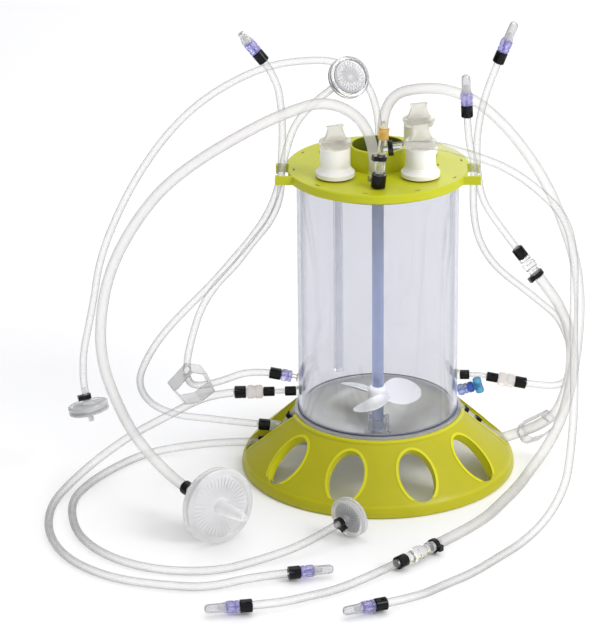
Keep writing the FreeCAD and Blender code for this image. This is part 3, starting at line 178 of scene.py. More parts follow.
# ---------------------------------------------------------------- material helpers
class Mat:
    """Small builder for one procedural material."""

    def __init__(self, name):
        self.m = bpy.data.materials.new(name)
        self.m.use_nodes = True
        self.t = self.m.node_tree
        self.t.nodes.clear()
        self.out = self.t.nodes.new("ShaderNodeOutputMaterial")
        self.coord = None

    def add(self, kind, **values):
        n = self.t.nodes.new(kind)
        for k, v in values.items():
            if hasattr(n, k):
                setattr(n, k, v)
            else:
                n.inputs[k.replace("_", " ")].default_value = v
        return n

    def link(self, a, b):
        self.t.links.new(a, b)

    def where(self):
        if self.coord is None:
            self.coord = self.t.nodes.new("ShaderNodeTexCoord").outputs["Object"]
        return self.coord

    def noise(self, scale, detail=3.0, rough=0.5, stretch=None):
        n = self.add("ShaderNodeTexNoise")
        n.inputs["Scale"].default_value = scale
        n.inputs["Detail"].default_value = detail
        n.inputs["Roughness"].default_value = rough
        src = self.where()
        if stretch:
            mp = self.add("ShaderNodeMapping")
            mp.inputs["Scale"].default_value = stretch
            self.link(src, mp.inputs["Vector"])
            src = mp.outputs["Vector"]
        self.link(src, n.inputs["Vector"])
        return n.outputs["Fac"]

    def ramp(self, fac, stops):
        r = self.add("ShaderNodeValToRGB")
        e = r.color_ramp.elements
        while len(e) > len(stops):
            e.remove(e[-1])
        while len(e) < len(stops):
            e.new(0.5)
        for k, (p, c) in enumerate(stops):
            e[k].position = p
            e[k].color = (*c, 1.0) if len(c) == 3 else c
        self.link(fac, r.inputs["Fac"])
        return r.outputs["Color"]

    def span(self, fac, low, high, a=0.0, b=1.0):
        r = self.add("ShaderNodeMapRange")
        r.inputs["From Min"].default_value = a
        r.inputs["From Max"].default_value = b
        r.inputs["To Min"].default_value = low
        r.inputs["To Max"].default_value = high
        self.link(fac, r.inputs["Value"])
        return r.outputs["Result"]

    def bump(self, height, strength, distance):
        b = self.add("ShaderNodeBump")
        b.inputs["Strength"].default_value = strength
        b.inputs["Distance"].default_value = distance
        self.link(height, b.inputs["Height"])
        return b.outputs["Normal"]

    def principled(self, color, rough, **values):
        p = self.add("ShaderNodeBsdfPrincipled")
        if isinstance(color, tuple):
            p.inputs["Base Color"].default_value = (*color, 1.0)
        else:
            self.link(color, p.inputs["Base Color"])
        if isinstance(rough, (int, float)):
            p.inputs["Roughness"].default_value = rough
        else:
            self.link(rough, p.inputs["Roughness"])
        for k, v in values.items():
            k = k.replace("_", " ")
            p.inputs[k].default_value = v
        return p

    def finish(self, shader):
        self.link(shader, self.out.inputs["Surface"])
        return self.m


def moulded(name, color, rough=0.35, vary=0.06, grain=0.02, grain_scale=2200.0, spec=0.5, sss=0.0, sss_radius=(0.6, 0.5, 0.3), coat=0.0):
    """Opaque moulded plastic: slow colour drift, uneven gloss and a fine moulded grain."""
    k = Mat(name)
    drift = k.noise(28.0, 3.0, 0.55)
    a = tuple(max(0.0, c * (1 - vary)) for c in color)
    b = tuple(min(1.0, c * (1 + vary)) for c in color)
    col = k.ramp(drift, [(0.3, a), (0.7, b)])
    patch = k.noise(120.0, 4.0, 0.6)
    r = k.span(patch, rough - 0.05, rough + 0.06, 0.3, 0.7)
    p = k.principled(col, r)
    p.inputs["Specular IOR Level"].default_value = spec
    if sss:
        p.inputs["Subsurface Weight"].default_value = sss
        p.inputs["Subsurface Radius"].default_value = sss_radius
        p.inputs["Subsurface Scale"].default_value = 0.004
    if coat:
        p.inputs["Coat Weight"].default_value = coat
        p.inputs["Coat Roughness"].default_value = 0.12
    fine = k.noise(min(grain_scale, 420.0), 1.0, 0.4)
    k.link(k.bump(fine, grain, 0.0003), p.inputs["Normal"])
    return k.finish(p.outputs["BSDF"])


def lime(name, color, painted_shading_colour, rough, slope=None, painted_shade_radius=None):
    """Lime moulding: calm gloss variation, with painted light that makes the raised lips, window beads and window walls
    lighter where the slope line is given, and painted shade that darkens the drive collar's bore where its radius is
    given.
    """
    k = Mat(name)
    drift = k.noise(26.0, 3.0, 0.55)
    a = tuple(c * 0.965 for c in color)
    b = tuple(min(1.0, c * 1.035) for c in color)
    col = k.ramp(drift, [(0.3, a), (0.7, b)])
    if slope or painted_shade_radius:
        split = k.add("ShaderNodeSeparateXYZ")
        k.link(k.where(), split.inputs["Vector"])

        def calc(kind, one, two=None):
            n = k.add("ShaderNodeMath")
            n.operation = kind
            for socket, value in zip(n.inputs, (one, two)):
                if value is None:
                    continue
                if isinstance(value, (int, float)):
                    socket.default_value = value
                else:
                    k.link(value, socket)
            return n.outputs["Value"]

        xx = calc("MULTIPLY", split.outputs["X"], split.outputs["X"])
        yy = calc("MULTIPLY", split.outputs["Y"], split.outputs["Y"])
        around = calc("SQRT", calc("ADD", xx, yy))
    if painted_shade_radius:
        # painted shade in the bore of the drive collar, which lies deep in its own shade: mixed towards a dark colour,
        # darker towards the bottom
        share = calc("MULTIPLY", k.span(around, 1.0, 0.0, painted_shade_radius - 0.0004, painted_shade_radius), k.span(split.outputs["Z"], 1.0, 0.80, 0.283, 0.3045))
    # painted light: the window walls below the slope line, the raised window beads and the skirt's top lip are mixed
    # towards a lighter colour
    if slope:
        foot, corner, head, top = slope
        skin = k.span(split.outputs["Z"], foot, head, corner, top)
        depth = calc("SUBTRACT", skin, around)
        inner = k.span(depth, 0.0, 1.0, 0.0004, 0.0013)
        bead = k.span(depth, 1.0, 0.0, -0.00032, -0.00008)
        lip = k.span(split.outputs["Z"], 0.0, 1.0, 0.0522, 0.0530)
        low = k.span(split.outputs["Z"], 0.0, 1.0, 0.009, 0.0125)
        share = calc("MULTIPLY", calc("MAXIMUM", inner, bead), low)
        share = calc("MAXIMUM", share, calc("MULTIPLY", lip, 0.8))
    if slope or painted_shade_radius:
        mix = k.add("ShaderNodeMixRGB")
        k.link(share, mix.inputs["Fac"])
        k.link(col, mix.inputs["Color1"])
        mix.inputs["Color2"].default_value = (*painted_shading_colour, 1.0)
        col = mix.outputs["Color"]
    patch = k.noise(110.0, 3.0, 0.6)
    p = k.principled(col, k.span(patch, rough - 0.05, rough + 0.06, 0.3, 0.7))
    p.inputs["Specular IOR Level"].default_value = 0.26
    k.link(k.bump(k.noise(380.0, 1.0, 0.4), 0.02, 0.0003), p.inputs["Normal"])
    return k.finish(p.outputs["BSDF"])


def hose_glass(name, tint, rough, haze, haze_color, core=0.22, rim=0.45, ior=1.36, dark=(0.86, 0.62, 0.42)):
    """Clear flexible tube: see-through core, refracting rims by Layer Weight, a slight milky share."""
    k = Mat(name)
    patch = k.noise(60.0, 3.0, 0.6)
    drift = k.noise(18.0, 2.0, 0.5)
    a = tuple(c * 0.99 for c in tint)
    g = k.principled(k.ramp(drift, [(0.35, a), (0.65, tint)]), k.span(patch, rough * 0.6, rough * 1.6, 0.3, 0.7))
    g.inputs["Transmission Weight"].default_value = 1.0
    g.inputs["IOR"].default_value = ior
    through = k.add("ShaderNodeBsdfTransparent")
    lw = k.add("ShaderNodeLayerWeight")
    lw.inputs["Blend"].default_value = 0.5
    facing = lw.outputs["Facing"]
    k.link(k.ramp(facing, [(0.0, tuple(min(1.0, c * 1.01) for c in tint)), (0.10, tint), (0.32, tuple(c * dark[0] for c in tint)), (0.62, tuple(c * dark[1] for c in tint)), (1.0, tuple(c * dark[2] for c in tint))]),
           through.inputs["Color"])
    share = k.ramp(facing, [(0.0, (core,) * 3), (0.45, (core,) * 3), (1.0, (rim,) * 3)])
    mix = k.add("ShaderNodeMixShader")
    k.link(share, mix.inputs["Fac"])
    k.link(through.outputs["BSDF"], mix.inputs[1])
    k.link(g.outputs["BSDF"], mix.inputs[2])
    shader = mix.outputs["Shader"]
    if haze:
        d = k.principled(haze_color, 0.35)
        d.inputs["Specular IOR Level"].default_value = 0.5
        tr = k.add("ShaderNodeBsdfTranslucent")
        tr.inputs["Color"].default_value = (*haze_color, 1.0)
        mix0 = k.add("ShaderNodeMixShader")
        mix0.inputs["Fac"].default_value = 0.5
        k.link(d.outputs["BSDF"], mix0.inputs[1])
        k.link(tr.outputs["BSDF"], mix0.inputs[2])
        mix1 = k.add("ShaderNodeMixShader")
        k.link(k.span(drift, haze * 0.85, haze * 1.15, 0.35, 0.65), mix1.inputs["Fac"])
        k.link(shader, mix1.inputs[1])
        k.link(mix0.outputs["Shader"], mix1.inputs[2])
        shader = mix1.outputs["Shader"]
    lp = k.add("ShaderNodeLightPath")
    see = k.add("ShaderNodeBsdfTransparent")
    see.inputs["Color"].default_value = tuple(min(1.0, c * 0.985) for c in tint) + (1.0,)
    end = k.add("ShaderNodeMixShader")
    k.link(lp.outputs["Is Shadow Ray"], end.inputs["Fac"])
    k.link(shader, end.inputs[1])
    k.link(see.outputs["BSDF"], end.inputs[2])
    return k.finish(end.outputs["Shader"])


def bore_wall(name, tint):
    """Inner wall of a hose: nearly unseen, with a faint line at its sides."""
    k = Mat(name)
    through = k.add("ShaderNodeBsdfTransparent")
    lw = k.add("ShaderNodeLayerWeight")
    lw.inputs["Blend"].default_value = 0.5
    drift = k.noise(30.0, 2.0, 0.5)
    line_tint = k.ramp(lw.outputs["Facing"], [(0.0, tint), (0.45, tuple(c * 0.985 for c in tint)), (0.75, tuple(c * 0.90 for c in tint)), (1.0, tuple(c * 0.72 for c in tint))])
    k.link(line_tint, through.inputs["Color"])
    gloss = k.principled(tint, k.span(drift, 0.08, 0.16, 0.3, 0.7))
    gloss.inputs["Transmission Weight"].default_value = 1.0
    gloss.inputs["IOR"].default_value = 1.05
    mix = k.add("ShaderNodeMixShader")
    mix.inputs["Fac"].default_value = 0.04
    k.link(through.outputs["BSDF"], mix.inputs[1])
    k.link(gloss.outputs["BSDF"], mix.inputs[2])
    return k.finish(mix.outputs["Shader"])


def clear(name, tint, rough=0.03, ior=1.49, haze=0.0, haze_color=(0.9, 0.92, 0.95), rim=None, wave=0.0, shadow=0.86, edge=None):
    """Clear or translucent plastic: refracting body, an optional milky share, and light shadows."""
    k = Mat(name)
    patch = k.noise(70.0, 4.0, 0.6)
    r = k.span(patch, max(0.0, rough * 0.6), rough * 1.5 + 0.01, 0.3, 0.7)
    drift = k.noise(24.0, 2.0, 0.5)
    a = tuple(c * 0.985 for c in tint)
    if rim:
        lw = k.add("ShaderNodeLayerWeight")
        lw.inputs["Blend"].default_value = 0.5
        col = k.ramp(lw.outputs["Facing"], [(0.0, tint), (0.55, tint), (0.85, tuple(0.5 * (p + q) for p, q in zip(tint, rim))), (1.0, rim)])
    else:
        col = k.ramp(drift, [(0.35, a), (0.65, tint)])
    g = k.principled(col, r)
    g.inputs["Transmission Weight"].default_value = 1.0
    g.inputs["IOR"].default_value = ior
    if wave:
        k.link(k.bump(k.noise(260.0, 2.0, 0.5), wave, 0.0004), g.inputs["Normal"])
    shader = g.outputs["BSDF"]
    if haze:
        d = k.principled(haze_color, 0.45)
        d.inputs["Specular IOR Level"].default_value = 0.4
        tr = k.add("ShaderNodeBsdfTranslucent")
        tr.inputs["Color"].default_value = (*haze_color, 1.0)
        mix0 = k.add("ShaderNodeMixShader")
        mix0.inputs["Fac"].default_value = 0.5
        k.link(d.outputs["BSDF"], mix0.inputs[1])
        k.link(tr.outputs["BSDF"], mix0.inputs[2])
        mix1 = k.add("ShaderNodeMixShader")
        k.link(k.span(drift, haze * 0.85, haze * 1.15, 0.35, 0.65), mix1.inputs["Fac"])
        k.link(shader, mix1.inputs[1])
        k.link(mix0.outputs["Shader"], mix1.inputs[2])
        shader = mix1.outputs["Shader"]
    if edge:
        amount, edge_color, begin = edge
        thick = k.principled(edge_color, 0.40)
        thick.inputs["Specular IOR Level"].default_value = 0.5
        lw2 = k.add("ShaderNodeLayerWeight")
        lw2.inputs["Blend"].default_value = 0.5
        share = k.ramp(lw2.outputs["Facing"], [(0.0, (0.0,) * 3), (begin, (0.0,) * 3), (min(0.99, begin + 0.28), (amount,) * 3), (1.0, (amount * 0.85,) * 3)])
        mix2 = k.add("ShaderNodeMixShader")
        k.link(share, mix2.inputs["Fac"])
        k.link(shader, mix2.inputs[1])
        k.link(thick.outputs["BSDF"], mix2.inputs[2])
        shader = mix2.outputs["Shader"]
    lp = k.add("ShaderNodeLightPath")
    see = k.add("ShaderNodeBsdfTransparent")
    see.inputs["Color"].default_value = tuple(min(1.0, shadow * c ** 0.4) for c in tint) + (1.0,)
    mix = k.add("ShaderNodeMixShader")
    k.link(lp.outputs["Is Shadow Ray"], mix.inputs["Fac"])
    k.link(shader, mix.inputs[1])
    k.link(see.outputs["BSDF"], mix.inputs[2])
    return k.finish(mix.outputs["Shader"])


# the second colour of each lime is painted shading: painted light for the skirt, painted shade for the lid's collar
# bore
LIME = lime("lime_plastic", (0.445, 0.421, 0.009), (0.640, 0.620, 0.010), 0.36, SLOPE)
LIME_LID = lime("lime_plastic_lid", (0.510, 0.530, 0.012), (0.035, 0.058, 0.007), 0.36, painted_shade_radius=0.0231)
# painted shade: a dark lime for the plates that stand in for the shade in the lid's small slots
PAINTED_SHADE = moulded("lime_painted_shade", (0.085, 0.100, 0.012), 0.45, 0.1, 0.02, 2400.0, 0.2)
WHITE = moulded("white_plastic", (0.95, 0.94, 0.94), 0.34, 0.012, 0.006, 2400.0, 0.5, sss=0.2)
BLADE = moulded("blade_plastic", (0.97, 0.97, 0.97), 0.14, 0.012, 0.006, 2400.0, 0.5)
CREAM = clear("cream_plastic", (0.98, 0.97, 0.92), 0.12, 1.40, haze=0.46, haze_color=(0.955, 0.935, 0.86), rim=(0.80, 0.77, 0.68), shadow=1.0)
BLACK = moulded("black_plastic", (0.003, 0.003, 0.004), 0.09, 0.2, 0.012, 3200.0, 0.22)
GASKET = moulded("red_gasket", (0.16, 0.015, 0.012), 0.55, 0.1, 0.05, 3000.0, 0.35)
SHAFT = clear("shaft_plastic", (0.62, 0.70, 0.92), 0.08, 1.45, haze=0.45, haze_color=(0.55, 0.64, 0.92), shadow=1.0)
VESSEL = clear("clear_plastic", (0.824, 0.830, 0.860), 0.01, 1.49, haze=0.03, haze_color=(0.80, 0.82, 0.90), rim=(0.50, 0.53, 0.66), shadow=1.05, edge=(0.60, (0.47, 0.49, 0.59), 0.62))
FLOORPLATE = clear("clear_plastic_base", (0.95, 0.952, 0.965), 0.03, 1.49, haze=0.52, haze_color=(0.945, 0.95, 0.945), shadow=0.30)
FITTING = clear("clear_fitting", (0.985, 0.985, 0.987), 0.04, 1.45, haze=0.12, haze_color=(0.96, 0.96, 0.96), shadow=1.0)
CAPCLEAR = clear("clear_cap", (0.975, 0.975, 0.98), 0.05, 1.40, haze=0.22, haze_color=(0.95, 0.95, 0.955), rim=(0.55, 0.55, 0.56), shadow=1.0, edge=(0.62, (0.22, 0.22, 0.24), 0.38))
SMOKE = clear("filter_smoke", (0.945, 0.935, 0.955), 0.06, 1.40, haze=0.20, haze_color=(0.88, 0.87, 0.90), rim=(0.40, 0.40, 0.43), shadow=1.0, edge=(0.78, (0.09, 0.09, 0.10), 0.26))
HOSE = hose_glass("clear_hose", (0.985, 0.985, 0.982), 0.06, 0.17, (0.94, 0.94, 0.935), core=0.025, rim=0.16, dark=(0.90, 0.66, 0.40))
SILICONE = hose_glass("silicone_hose", (0.975, 0.972, 0.968), 0.12, 0.30, (0.965, 0.955, 0.95), core=0.04, rim=0.16, dark=(0.91, 0.70, 0.44))
BORE_WALL = bore_wall("hose_bore", (0.992, 0.992, 0.99))
PURPLE = clear("purple_plastic", (0.73, 0.71, 0.97), 0.07, 1.47, haze=0.34, haze_color=(0.50, 0.48, 0.86), rim=(0.40, 0.38, 0.74), shadow=1.0, edge=(0.5, (0.16, 0.14, 0.42), 0.40))
LILAC = clear("lilac_plastic", (0.62, 0.70, 0.97), 0.08, 1.47, haze=0.30, haze_color=(0.42, 0.52, 0.88), rim=(0.22, 0.28, 0.66), shadow=1.0)
VALVE = clear("valve_plastic", (0.97, 0.93, 0.92), 0.16, 1.47, haze=0.6, haze_color=(0.96, 0.92, 0.91), shadow=1.0)
BLUE = clear("blue_plastic", (0.12, 0.20, 0.76), 0.10, 1.47, haze=0.42, haze_color=(0.03, 0.07, 0.46))
CYAN = clear("cyan_plastic", (0.26, 0.68, 0.94), 0.16, 1.47, haze=0.58, haze_color=(0.17, 0.56, 0.86))
AMBER = clear("yellow_plastic", (0.96, 0.74, 0.32), 0.08, 1.47, haze=0.46, haze_color=(0.86, 0.60, 0.17), rim=(0.72, 0.44, 0.12), shadow=1.0)
HOUSING = clear("filter_housing", (0.975, 0.975, 0.98), 0.10, 1.40, haze=0.50, haze_color=(0.955, 0.955, 0.96), shadow=1.0)
FROST = clear("frosted_plastic", (0.975, 0.975, 0.975), 0.16, 1.40, haze=0.80, haze_color=(0.965, 0.965, 0.965), rim=(0.72, 0.72, 0.73), shadow=1.0)
RIM = clear("filter_rim", (0.955, 0.957, 0.962), 0.08, 1.45, haze=0.34, haze_color=(0.92, 0.92, 0.93), rim=(0.62, 0.62, 0.64), shadow=1.0, edge=(0.40, (0.40, 0.40, 0.42), 0.50))
DIP = clear("dip_plastic", (0.955, 0.965, 0.99), 0.14, 1.12, haze=0.14, haze_color=(0.90, 0.92, 0.98), rim=(0.84, 0.87, 0.95), shadow=1.0)
CLAMP = clear("clamp_plastic", (0.93, 0.925, 0.93), 0.12, 1.45, haze=0.34, haze_color=(0.80, 0.79, 0.80), shadow=0.95)
MEMBRANE = moulded("filter_membrane", (0.975, 0.975, 0.98), 0.6, 0.012, 0.05, 1500.0, 0.3)
DARK = moulded("dark_plastic", (0.10, 0.12, 0.15), 0.35, 0.1, 0.02, 2500.0)


def bead_line(name):
    """Adhesive line, the same all round: dark blue, paler in random patches."""
    k = Mat(name)
    col = k.ramp(k.noise(26.0, 3.0, 0.5), [(0.0, (0.020, 0.024, 0.085)), (0.5, (0.050, 0.058, 0.135)), (1.0, (0.11, 0.12, 0.20))])
    p = k.principled(col, k.span(k.noise(120.0, 4.0, 0.6), 0.15, 0.24, 0.3, 0.7))
    k.link(k.bump(k.noise(300.0, 1.0, 0.4), 0.01, 0.0003), p.inputs["Normal"])
    return k.finish(p.outputs["BSDF"])


NAVY = bead_line("navy_bead")


def paint(obj, mat):
    if obj.material_slots:
        for s in obj.material_slots:
            s.material = mat
    else:
        obj.data.materials.append(mat)


PAINT = {
    "base_skirt": LIME, "lid": LIME_LID, "vessel_tube": VESSEL, "vessel_bottom": FLOORPLATE,
    "lid_barbs": FITTING, "probe_port_left": WHITE, "probe_port_right": WHITE, "probe_port_rear": WHITE,
    "probe_plug_left": CREAM, "probe_plug_right": CREAM, "probe_plug_rear": CREAM, "port_gaskets": GASKET,
    "impeller_shaft": SHAFT, "impeller": WHITE, "drive_coupling": DARK, "upper_bearing": WHITE, "lower_bearing": FITTING,
    "dip_tube": DIP, "port_fitting_left_upper": PURPLE, "port_fitting_left_lower": FITTING,
    "port_fitting_right": FITTING, "sampling_valve_body": BLUE, "sampling_valve_knob": CYAN, "check_valve_left": VALVE,
    "check_valve_right": VALVE, "link_tube_left": HOSE, "link_tube_right": HOSE, "front_adapter": FITTING, "adapter_cap": AMBER,
    "vent_filter": HOUSING, "exhaust_filter": HOUSING, "feed_filter": HOUSING, "drain_filter": HOUSING,
    "line_connectors": PURPLE, "quick_connect_transfer": FITTING, "quick_connect_supply": FITTING,
    "barb_sleeves": BLACK, "cable_ties": BLACK, "pinch_clamp_left": CLAMP, "pinch_clamp_right": CLAMP,
}
for name in nodes:
    if name in PAINT:
        paint(nodes[name], PAINT[name])
    elif name.startswith("end_cap"):
        paint(nodes[name], FITTING)


# ---------------------------------------------------------------- mesh helpers
def mesh_object(name, bm, mat, body="base", angle=35.0):
    bmesh.ops.recalc_face_normals(bm, faces=bm.faces)
    data = bpy.data.meshes.new(name)
    bm.to_mesh(data)
    bm.free()
    data.shade_smooth()
    data.set_sharp_from_angle(angle=math.radians(angle))
    obj = bpy.data.objects.new(name, data)
    scene.collection.objects.link(obj)
    obj.data.materials.append(mat)
    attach(obj, body)
    return obj


def centre_points(points):
    """Points read from the route's smooth line."""
    data = bpy.data.curves.new("line", "CURVE")
    data.dimensions = "3D"
    data.resolution_u = 14
    spline = data.splines.new("NURBS")
    spline.points.add(len(points) - 1)
    for p, q in zip(spline.points, points):
        p.co = (*q, 1.0)
    spline.order_u = 3
    spline.use_endpoint_u = True
    obj = bpy.data.objects.new("line", data)
    scene.collection.objects.link(obj)
    bpy.context.view_layer.update()
    mesh = bpy.data.meshes.new_from_object(obj)
    out = [v.co.copy() for v in mesh.vertices]
    bpy.data.objects.remove(obj)
    bpy.data.meshes.remove(mesh)
    bpy.data.curves.remove(data)
    return out


def frames_along(line):
    """Position and two cross directions at each point, carried along without twist."""
    tangents = []
    for i in range(len(line)):
        a, b = line[max(i - 1, 0)], line[min(i + 1, len(line) - 1)]
        tangents.append((b - a).normalized())
    first = tangents[0]
    u = first.orthogonal().normalized()
    rows = []
    for i, t in enumerate(tangents):
        if i:
            u = (tangents[i - 1].rotation_difference(t)) @ u
        u = (u - t * u.dot(t)).normalized()
        rows.append((line[i], t, u, t.cross(u)))
    return rows


def hollow_tube(name, line, outer, inner, mat, bore_mat, around=24):
    bm = bmesh.new()
    rings = []
    for point, t, u, w in frames_along(line):
        pair = []
        for radius in (outer, inner):
            ring = []
            for k in range(around):
                a = 2 * math.pi * k / around
                ring.append(bm.verts.new(point + (u * math.cos(a) + w * math.sin(a)) * radius))
            pair.append(ring)
        rings.append(pair)
    n = around
    for i in range(len(rings) - 1):
        for k in range(n):
            j = (k + 1) % n
            bm.faces.new((rings[i][0][k], rings[i][0][j], rings[i + 1][0][j], rings[i + 1][0][k]))
            bm.faces.new((rings[i][1][j], rings[i][1][k], rings[i + 1][1][k], rings[i + 1][1][j])).material_index = 1
    for ends in (rings[0], rings[-1]):
        for k in range(n):
            j = (k + 1) % n
            bm.faces.new((ends[0][k], ends[0][j], ends[1][j], ends[1][k]))
    tube = mesh_object(name, bm, mat, angle=60.0)
    tube.data.materials.append(bore_mat)
    return tube


# ---------------------------------------------------------------- the twelve hoses
hose_lines, hose_pieces = {}, {}
for name, (kind, points) in ROUTES.items():
    outer, bore = BORE[kind]
    line = centre_points(points)
    hose_lines[name] = line
    milky = kind == "thick"
    piece = hollow_tube(name + "_line", line, outer / 2, bore / 2, SILICONE if milky else HOSE, BORE_WALL)
    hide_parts(name)
    hose_pieces[name] = piece


# ---------------------------------------------------------------- detailed pieces
def ends(name):
    """Start, direction out of the start, end, direction of travel at the end."""
    pts = [V(p) for p in ROUTES[name][1]]
    return pts[0], (pts[1] - pts[0]).normalized(), pts[-1], (pts[-1] - pts[-2]).normalized()


def aim(point, direction, roll=0.0):
    turn = V((0, 0, 1)).rotation_difference(direction)
    return Matrix.Translation(point) @ turn.to_matrix().to_4x4() @ Matrix.Rotation(roll, 4, "Z")


def lathe_into(bm, profile, place, steps=48, ribs=None):
    """Turned closed profile, (radius, height) in mm; ribs = (count, depth, low, high) scallops the outside."""
    rings = []
    for r, h in profile:
        if r < 1e-6:
            rings.append([bm.verts.new(place @ V((0, 0, h * MM)))])
            continue
        ring = []
        for k in range(steps):
            a = 2 * math.pi * k / steps
            rr = r
            if ribs and ribs[2] <= h <= ribs[3]:
                rr = r - ribs[1] * (0.5 - 0.5 * math.cos(ribs[0] * a)) ** 2
            ring.append(bm.verts.new(place @ V((rr * math.cos(a) * MM, rr * math.sin(a) * MM, h * MM))))
        rings.append(ring)
    count = len(rings)
    for i in range(count):
        a, b = rings[i], rings[(i + 1) % count]
        if len(a) == 1 and len(b) == 1:
            continue
        for k in range(steps):
            j = (k + 1) % steps
            if len(a) == 1:
                bm.faces.new((a[0], b[k], b[j]))
            elif len(b) == 1:
                bm.faces.new((a[k], a[j], b[0]))
            else:
                bm.faces.new((a[k], a[j], b[j], b[k]))


def lathe(name, profile, place, mat, body="base", steps=48, angle=32.0, ribs=None):
    bm = bmesh.new()
    lathe_into(bm, profile, place, steps, ribs)
    return mesh_object(name, bm, mat, body, angle)


def arc_points(cr, ch, radius, a0, a1, count):
    """Points of a small arc in the profile plane, degrees."""
    out = []
    for k in range(count + 1):
        a = math.radians(a0 + (a1 - a0) * k / count)
        out.append((cr + radius * math.cos(a), ch + radius * math.sin(a)))
    return out


def block_into(bm, place, low, high, bevel=0.0):
    """Small block with its edges eased."""
    made = bmesh.ops.create_cube(bm, size=1.0)
    size = [(b - a) * MM for a, b in zip(low, high)]
    mid = [(a + b) * 0.5 * MM for a, b in zip(low, high)]
    bmesh.ops.transform(bm, matrix=place @ Matrix.Translation(mid) @ Matrix.Diagonal((*size, 1.0)), verts=made["verts"])
    if bevel:
        edges = {e for v in made["verts"] for e in v.link_edges}
        bmesh.ops.bevel(bm, geom=list(edges), offset=bevel * MM, segments=2, affect="EDGES", profile=0.5)


# screw plugs: turned head with a groove, and a thin waisted grip with a raised rim
PLUG_TURN = {"left": 26.0, "right": 24.0, "rear": 18.0}
for which, turn in PLUG_TURN.items():
    low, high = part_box("probe_port_" + which)
    top = high[2]
    cx, cy = (low[0] + high[0]) / 2, (low[1] + high[1]) / 2
    place = Matrix.Translation((cx, cy, top)) @ Matrix.Rotation(math.radians(turn), 4, "Z")
    bm = bmesh.new()
    thread = [(9.3, -5.5), (9.3, 0.06), (13.0, 0.06)]
    for k in range(2):
        base = 0.5 + 1.1 * k
        thread += [(13.0, base), (13.35, base + 0.3), (13.35, base + 0.55), (13.0, base + 0.85)]
    thread += [(13.1, 2.5), (13.9, 2.7), (14.2, 3.1), (14.25, 4.9), (13.9, 5.5), (13.2, 5.9), (12.4, 6.1), (0, 6.1), (0, -7.0), (8.0, -7.0)]
    lathe_into(bm, thread, place, 72, ribs=(36, 0.25, 3.0, 5.2))
    half = [(11.3, 5.4), (11.0, 6.2), (10.2, 7.6), (9.2, 9.4), (8.3, 11.4), (7.6, 13.4), (7.1, 15.2), (6.85, 16.6), (6.95, 17.6), (7.45, 18.5), (7.65, 19.1), (7.4, 19.55)]
    outline = [V((x, 0, z)) for x, z in half] + [V((-x, 0, z)) for x, z in reversed(half)]
    sides = []
    for s in (-1, 1):
        sides.append([bm.verts.new(place @ V((p.x * MM, s * (1.75 - 0.028 * (p.z - 5)) * MM, p.z * MM))) for p in outline])
    n = len(outline)
    for k in range(n):
        j = (k + 1) % n
        bm.faces.new((sides[0][k], sides[0][j], sides[1][j], sides[1][k]))
    caps = [bm.faces.new(sides[0]), bm.faces.new(list(reversed(sides[1])))]
    for cap in caps:
        cap.normal_update()
        bmesh.ops.inset_region(bm, faces=[cap], thickness=1.0 * MM, depth=-0.55 * MM)
    bmesh.ops.triangulate(bm, faces=[f for f in bm.faces if len(f.verts) > 4])
    piece = mesh_object("plug_%s_head" % which, bm, CREAM, "plug_" + which, 30.0)
    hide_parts("probe_plug_" + which)

# capped line ends: ribbed lavender collar with a barb, and a hollow clear cap
LINE_ENDS = {  # cap node: hose, end, cap length, kind
    "end_cap_inlet": ("inlet_hose", "end", 11.0, "cone"), "end_cap_transfer": ("transfer_hose", "start", 17.0, "bullet"),
    "end_cap_return": ("return_hose", "start", 16.0, "bullet"), "end_cap_gas": ("gas_hose", "end", 16.5, "bullet"),
    "end_cap_supply": ("supply_tail_hose", "end", 17.5, "bullet"), "end_cap_addition": ("addition_hose", "end", 16.5, "bullet")}
for node, (hose, which, cap_len, kind) in LINE_ENDS.items():
    s, out, e, into = ends(hose)
    point, direction = (e, into) if which == "end" else (s, out * -1)
    place = aim(point, direction)
    b = BORE[ROUTES[hose][0]][1] * 500 - 0.05
    collar = [(b, -10.0), (b, 0.05), (4.2, 0.05), (4.6, 0.25), (5.15, 0.8), (5.25, 1.3), (5.25, 3.0), (4.95, 3.4), (4.7, 3.6), (4.7, 4.5),
              (4.95, 4.7), (5.25, 5.1), (5.3, 5.6), (5.3, 9.6), (5.1, 10.4), (4.7, 11.0), (4.2, 11.35), (2.05, 11.35), (2.05, 9.0), (0.9, 9.0), (0.9, -10.0)]
    piece = lathe("collar_" + node[8:], collar, place, PURPLE, "base", 80, 30.0, ribs=(10, 0.55, 5.5, 9.7))
    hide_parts("line_connectors")
    spigot = lathe("spigot_" + node[8:], [(0.9, 9.1), (2.0, 9.1), (2.0, 17.6), (1.2, 18.2), (0.9, 18.2)], place, CAPCLEAR, "base", 32, 30.0)
    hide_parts("line_connectors")
    if kind == "cone":
        outer = [(5.15, 11.5), (5.2, 12.6), (5.0, 13.4), (4.5, 15.0), (3.9, 16.6), (3.2, 17.9), (2.75, 18.8), (2.7, 19.6), (3.0, 20.0), (3.0, 21.6), (2.7, 22.2), (2.0, 22.5), (0, 22.5)]
        inner = [(0, 21.4), (1.6, 21.2), (1.8, 20.0), (1.9, 19.0), (2.4, 18.0), (3.1, 16.4), (3.7, 14.8), (4.2, 13.2), (4.3, 11.5)]
    else:
        tip = 11.5 + cap_len
        outer = [(4.2, 11.5), (4.3, 12.0), (4.3, 12.9), (4.0, 13.3), (3.95, 13.8), (3.8, tip - 3.6), (3.7, tip - 2.6)]
        outer += arc_points(0.9, tip - 2.7, 2.7, 8, 88, 7) + [(0, tip)]
        inner = [(0, tip - 1.0), (0.9, tip - 1.0)] + arc_points(1.0, tip - 2.8, 1.8, 80, 8, 4) + [(2.9, tip - 4.0), (3.05, 14.0), (3.2, 11.5)]
    cap = lathe(node + "_shell", outer + inner, place, CAPCLEAR, node.replace("end_cap", "cap"), 56, 30.0)
    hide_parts(node)

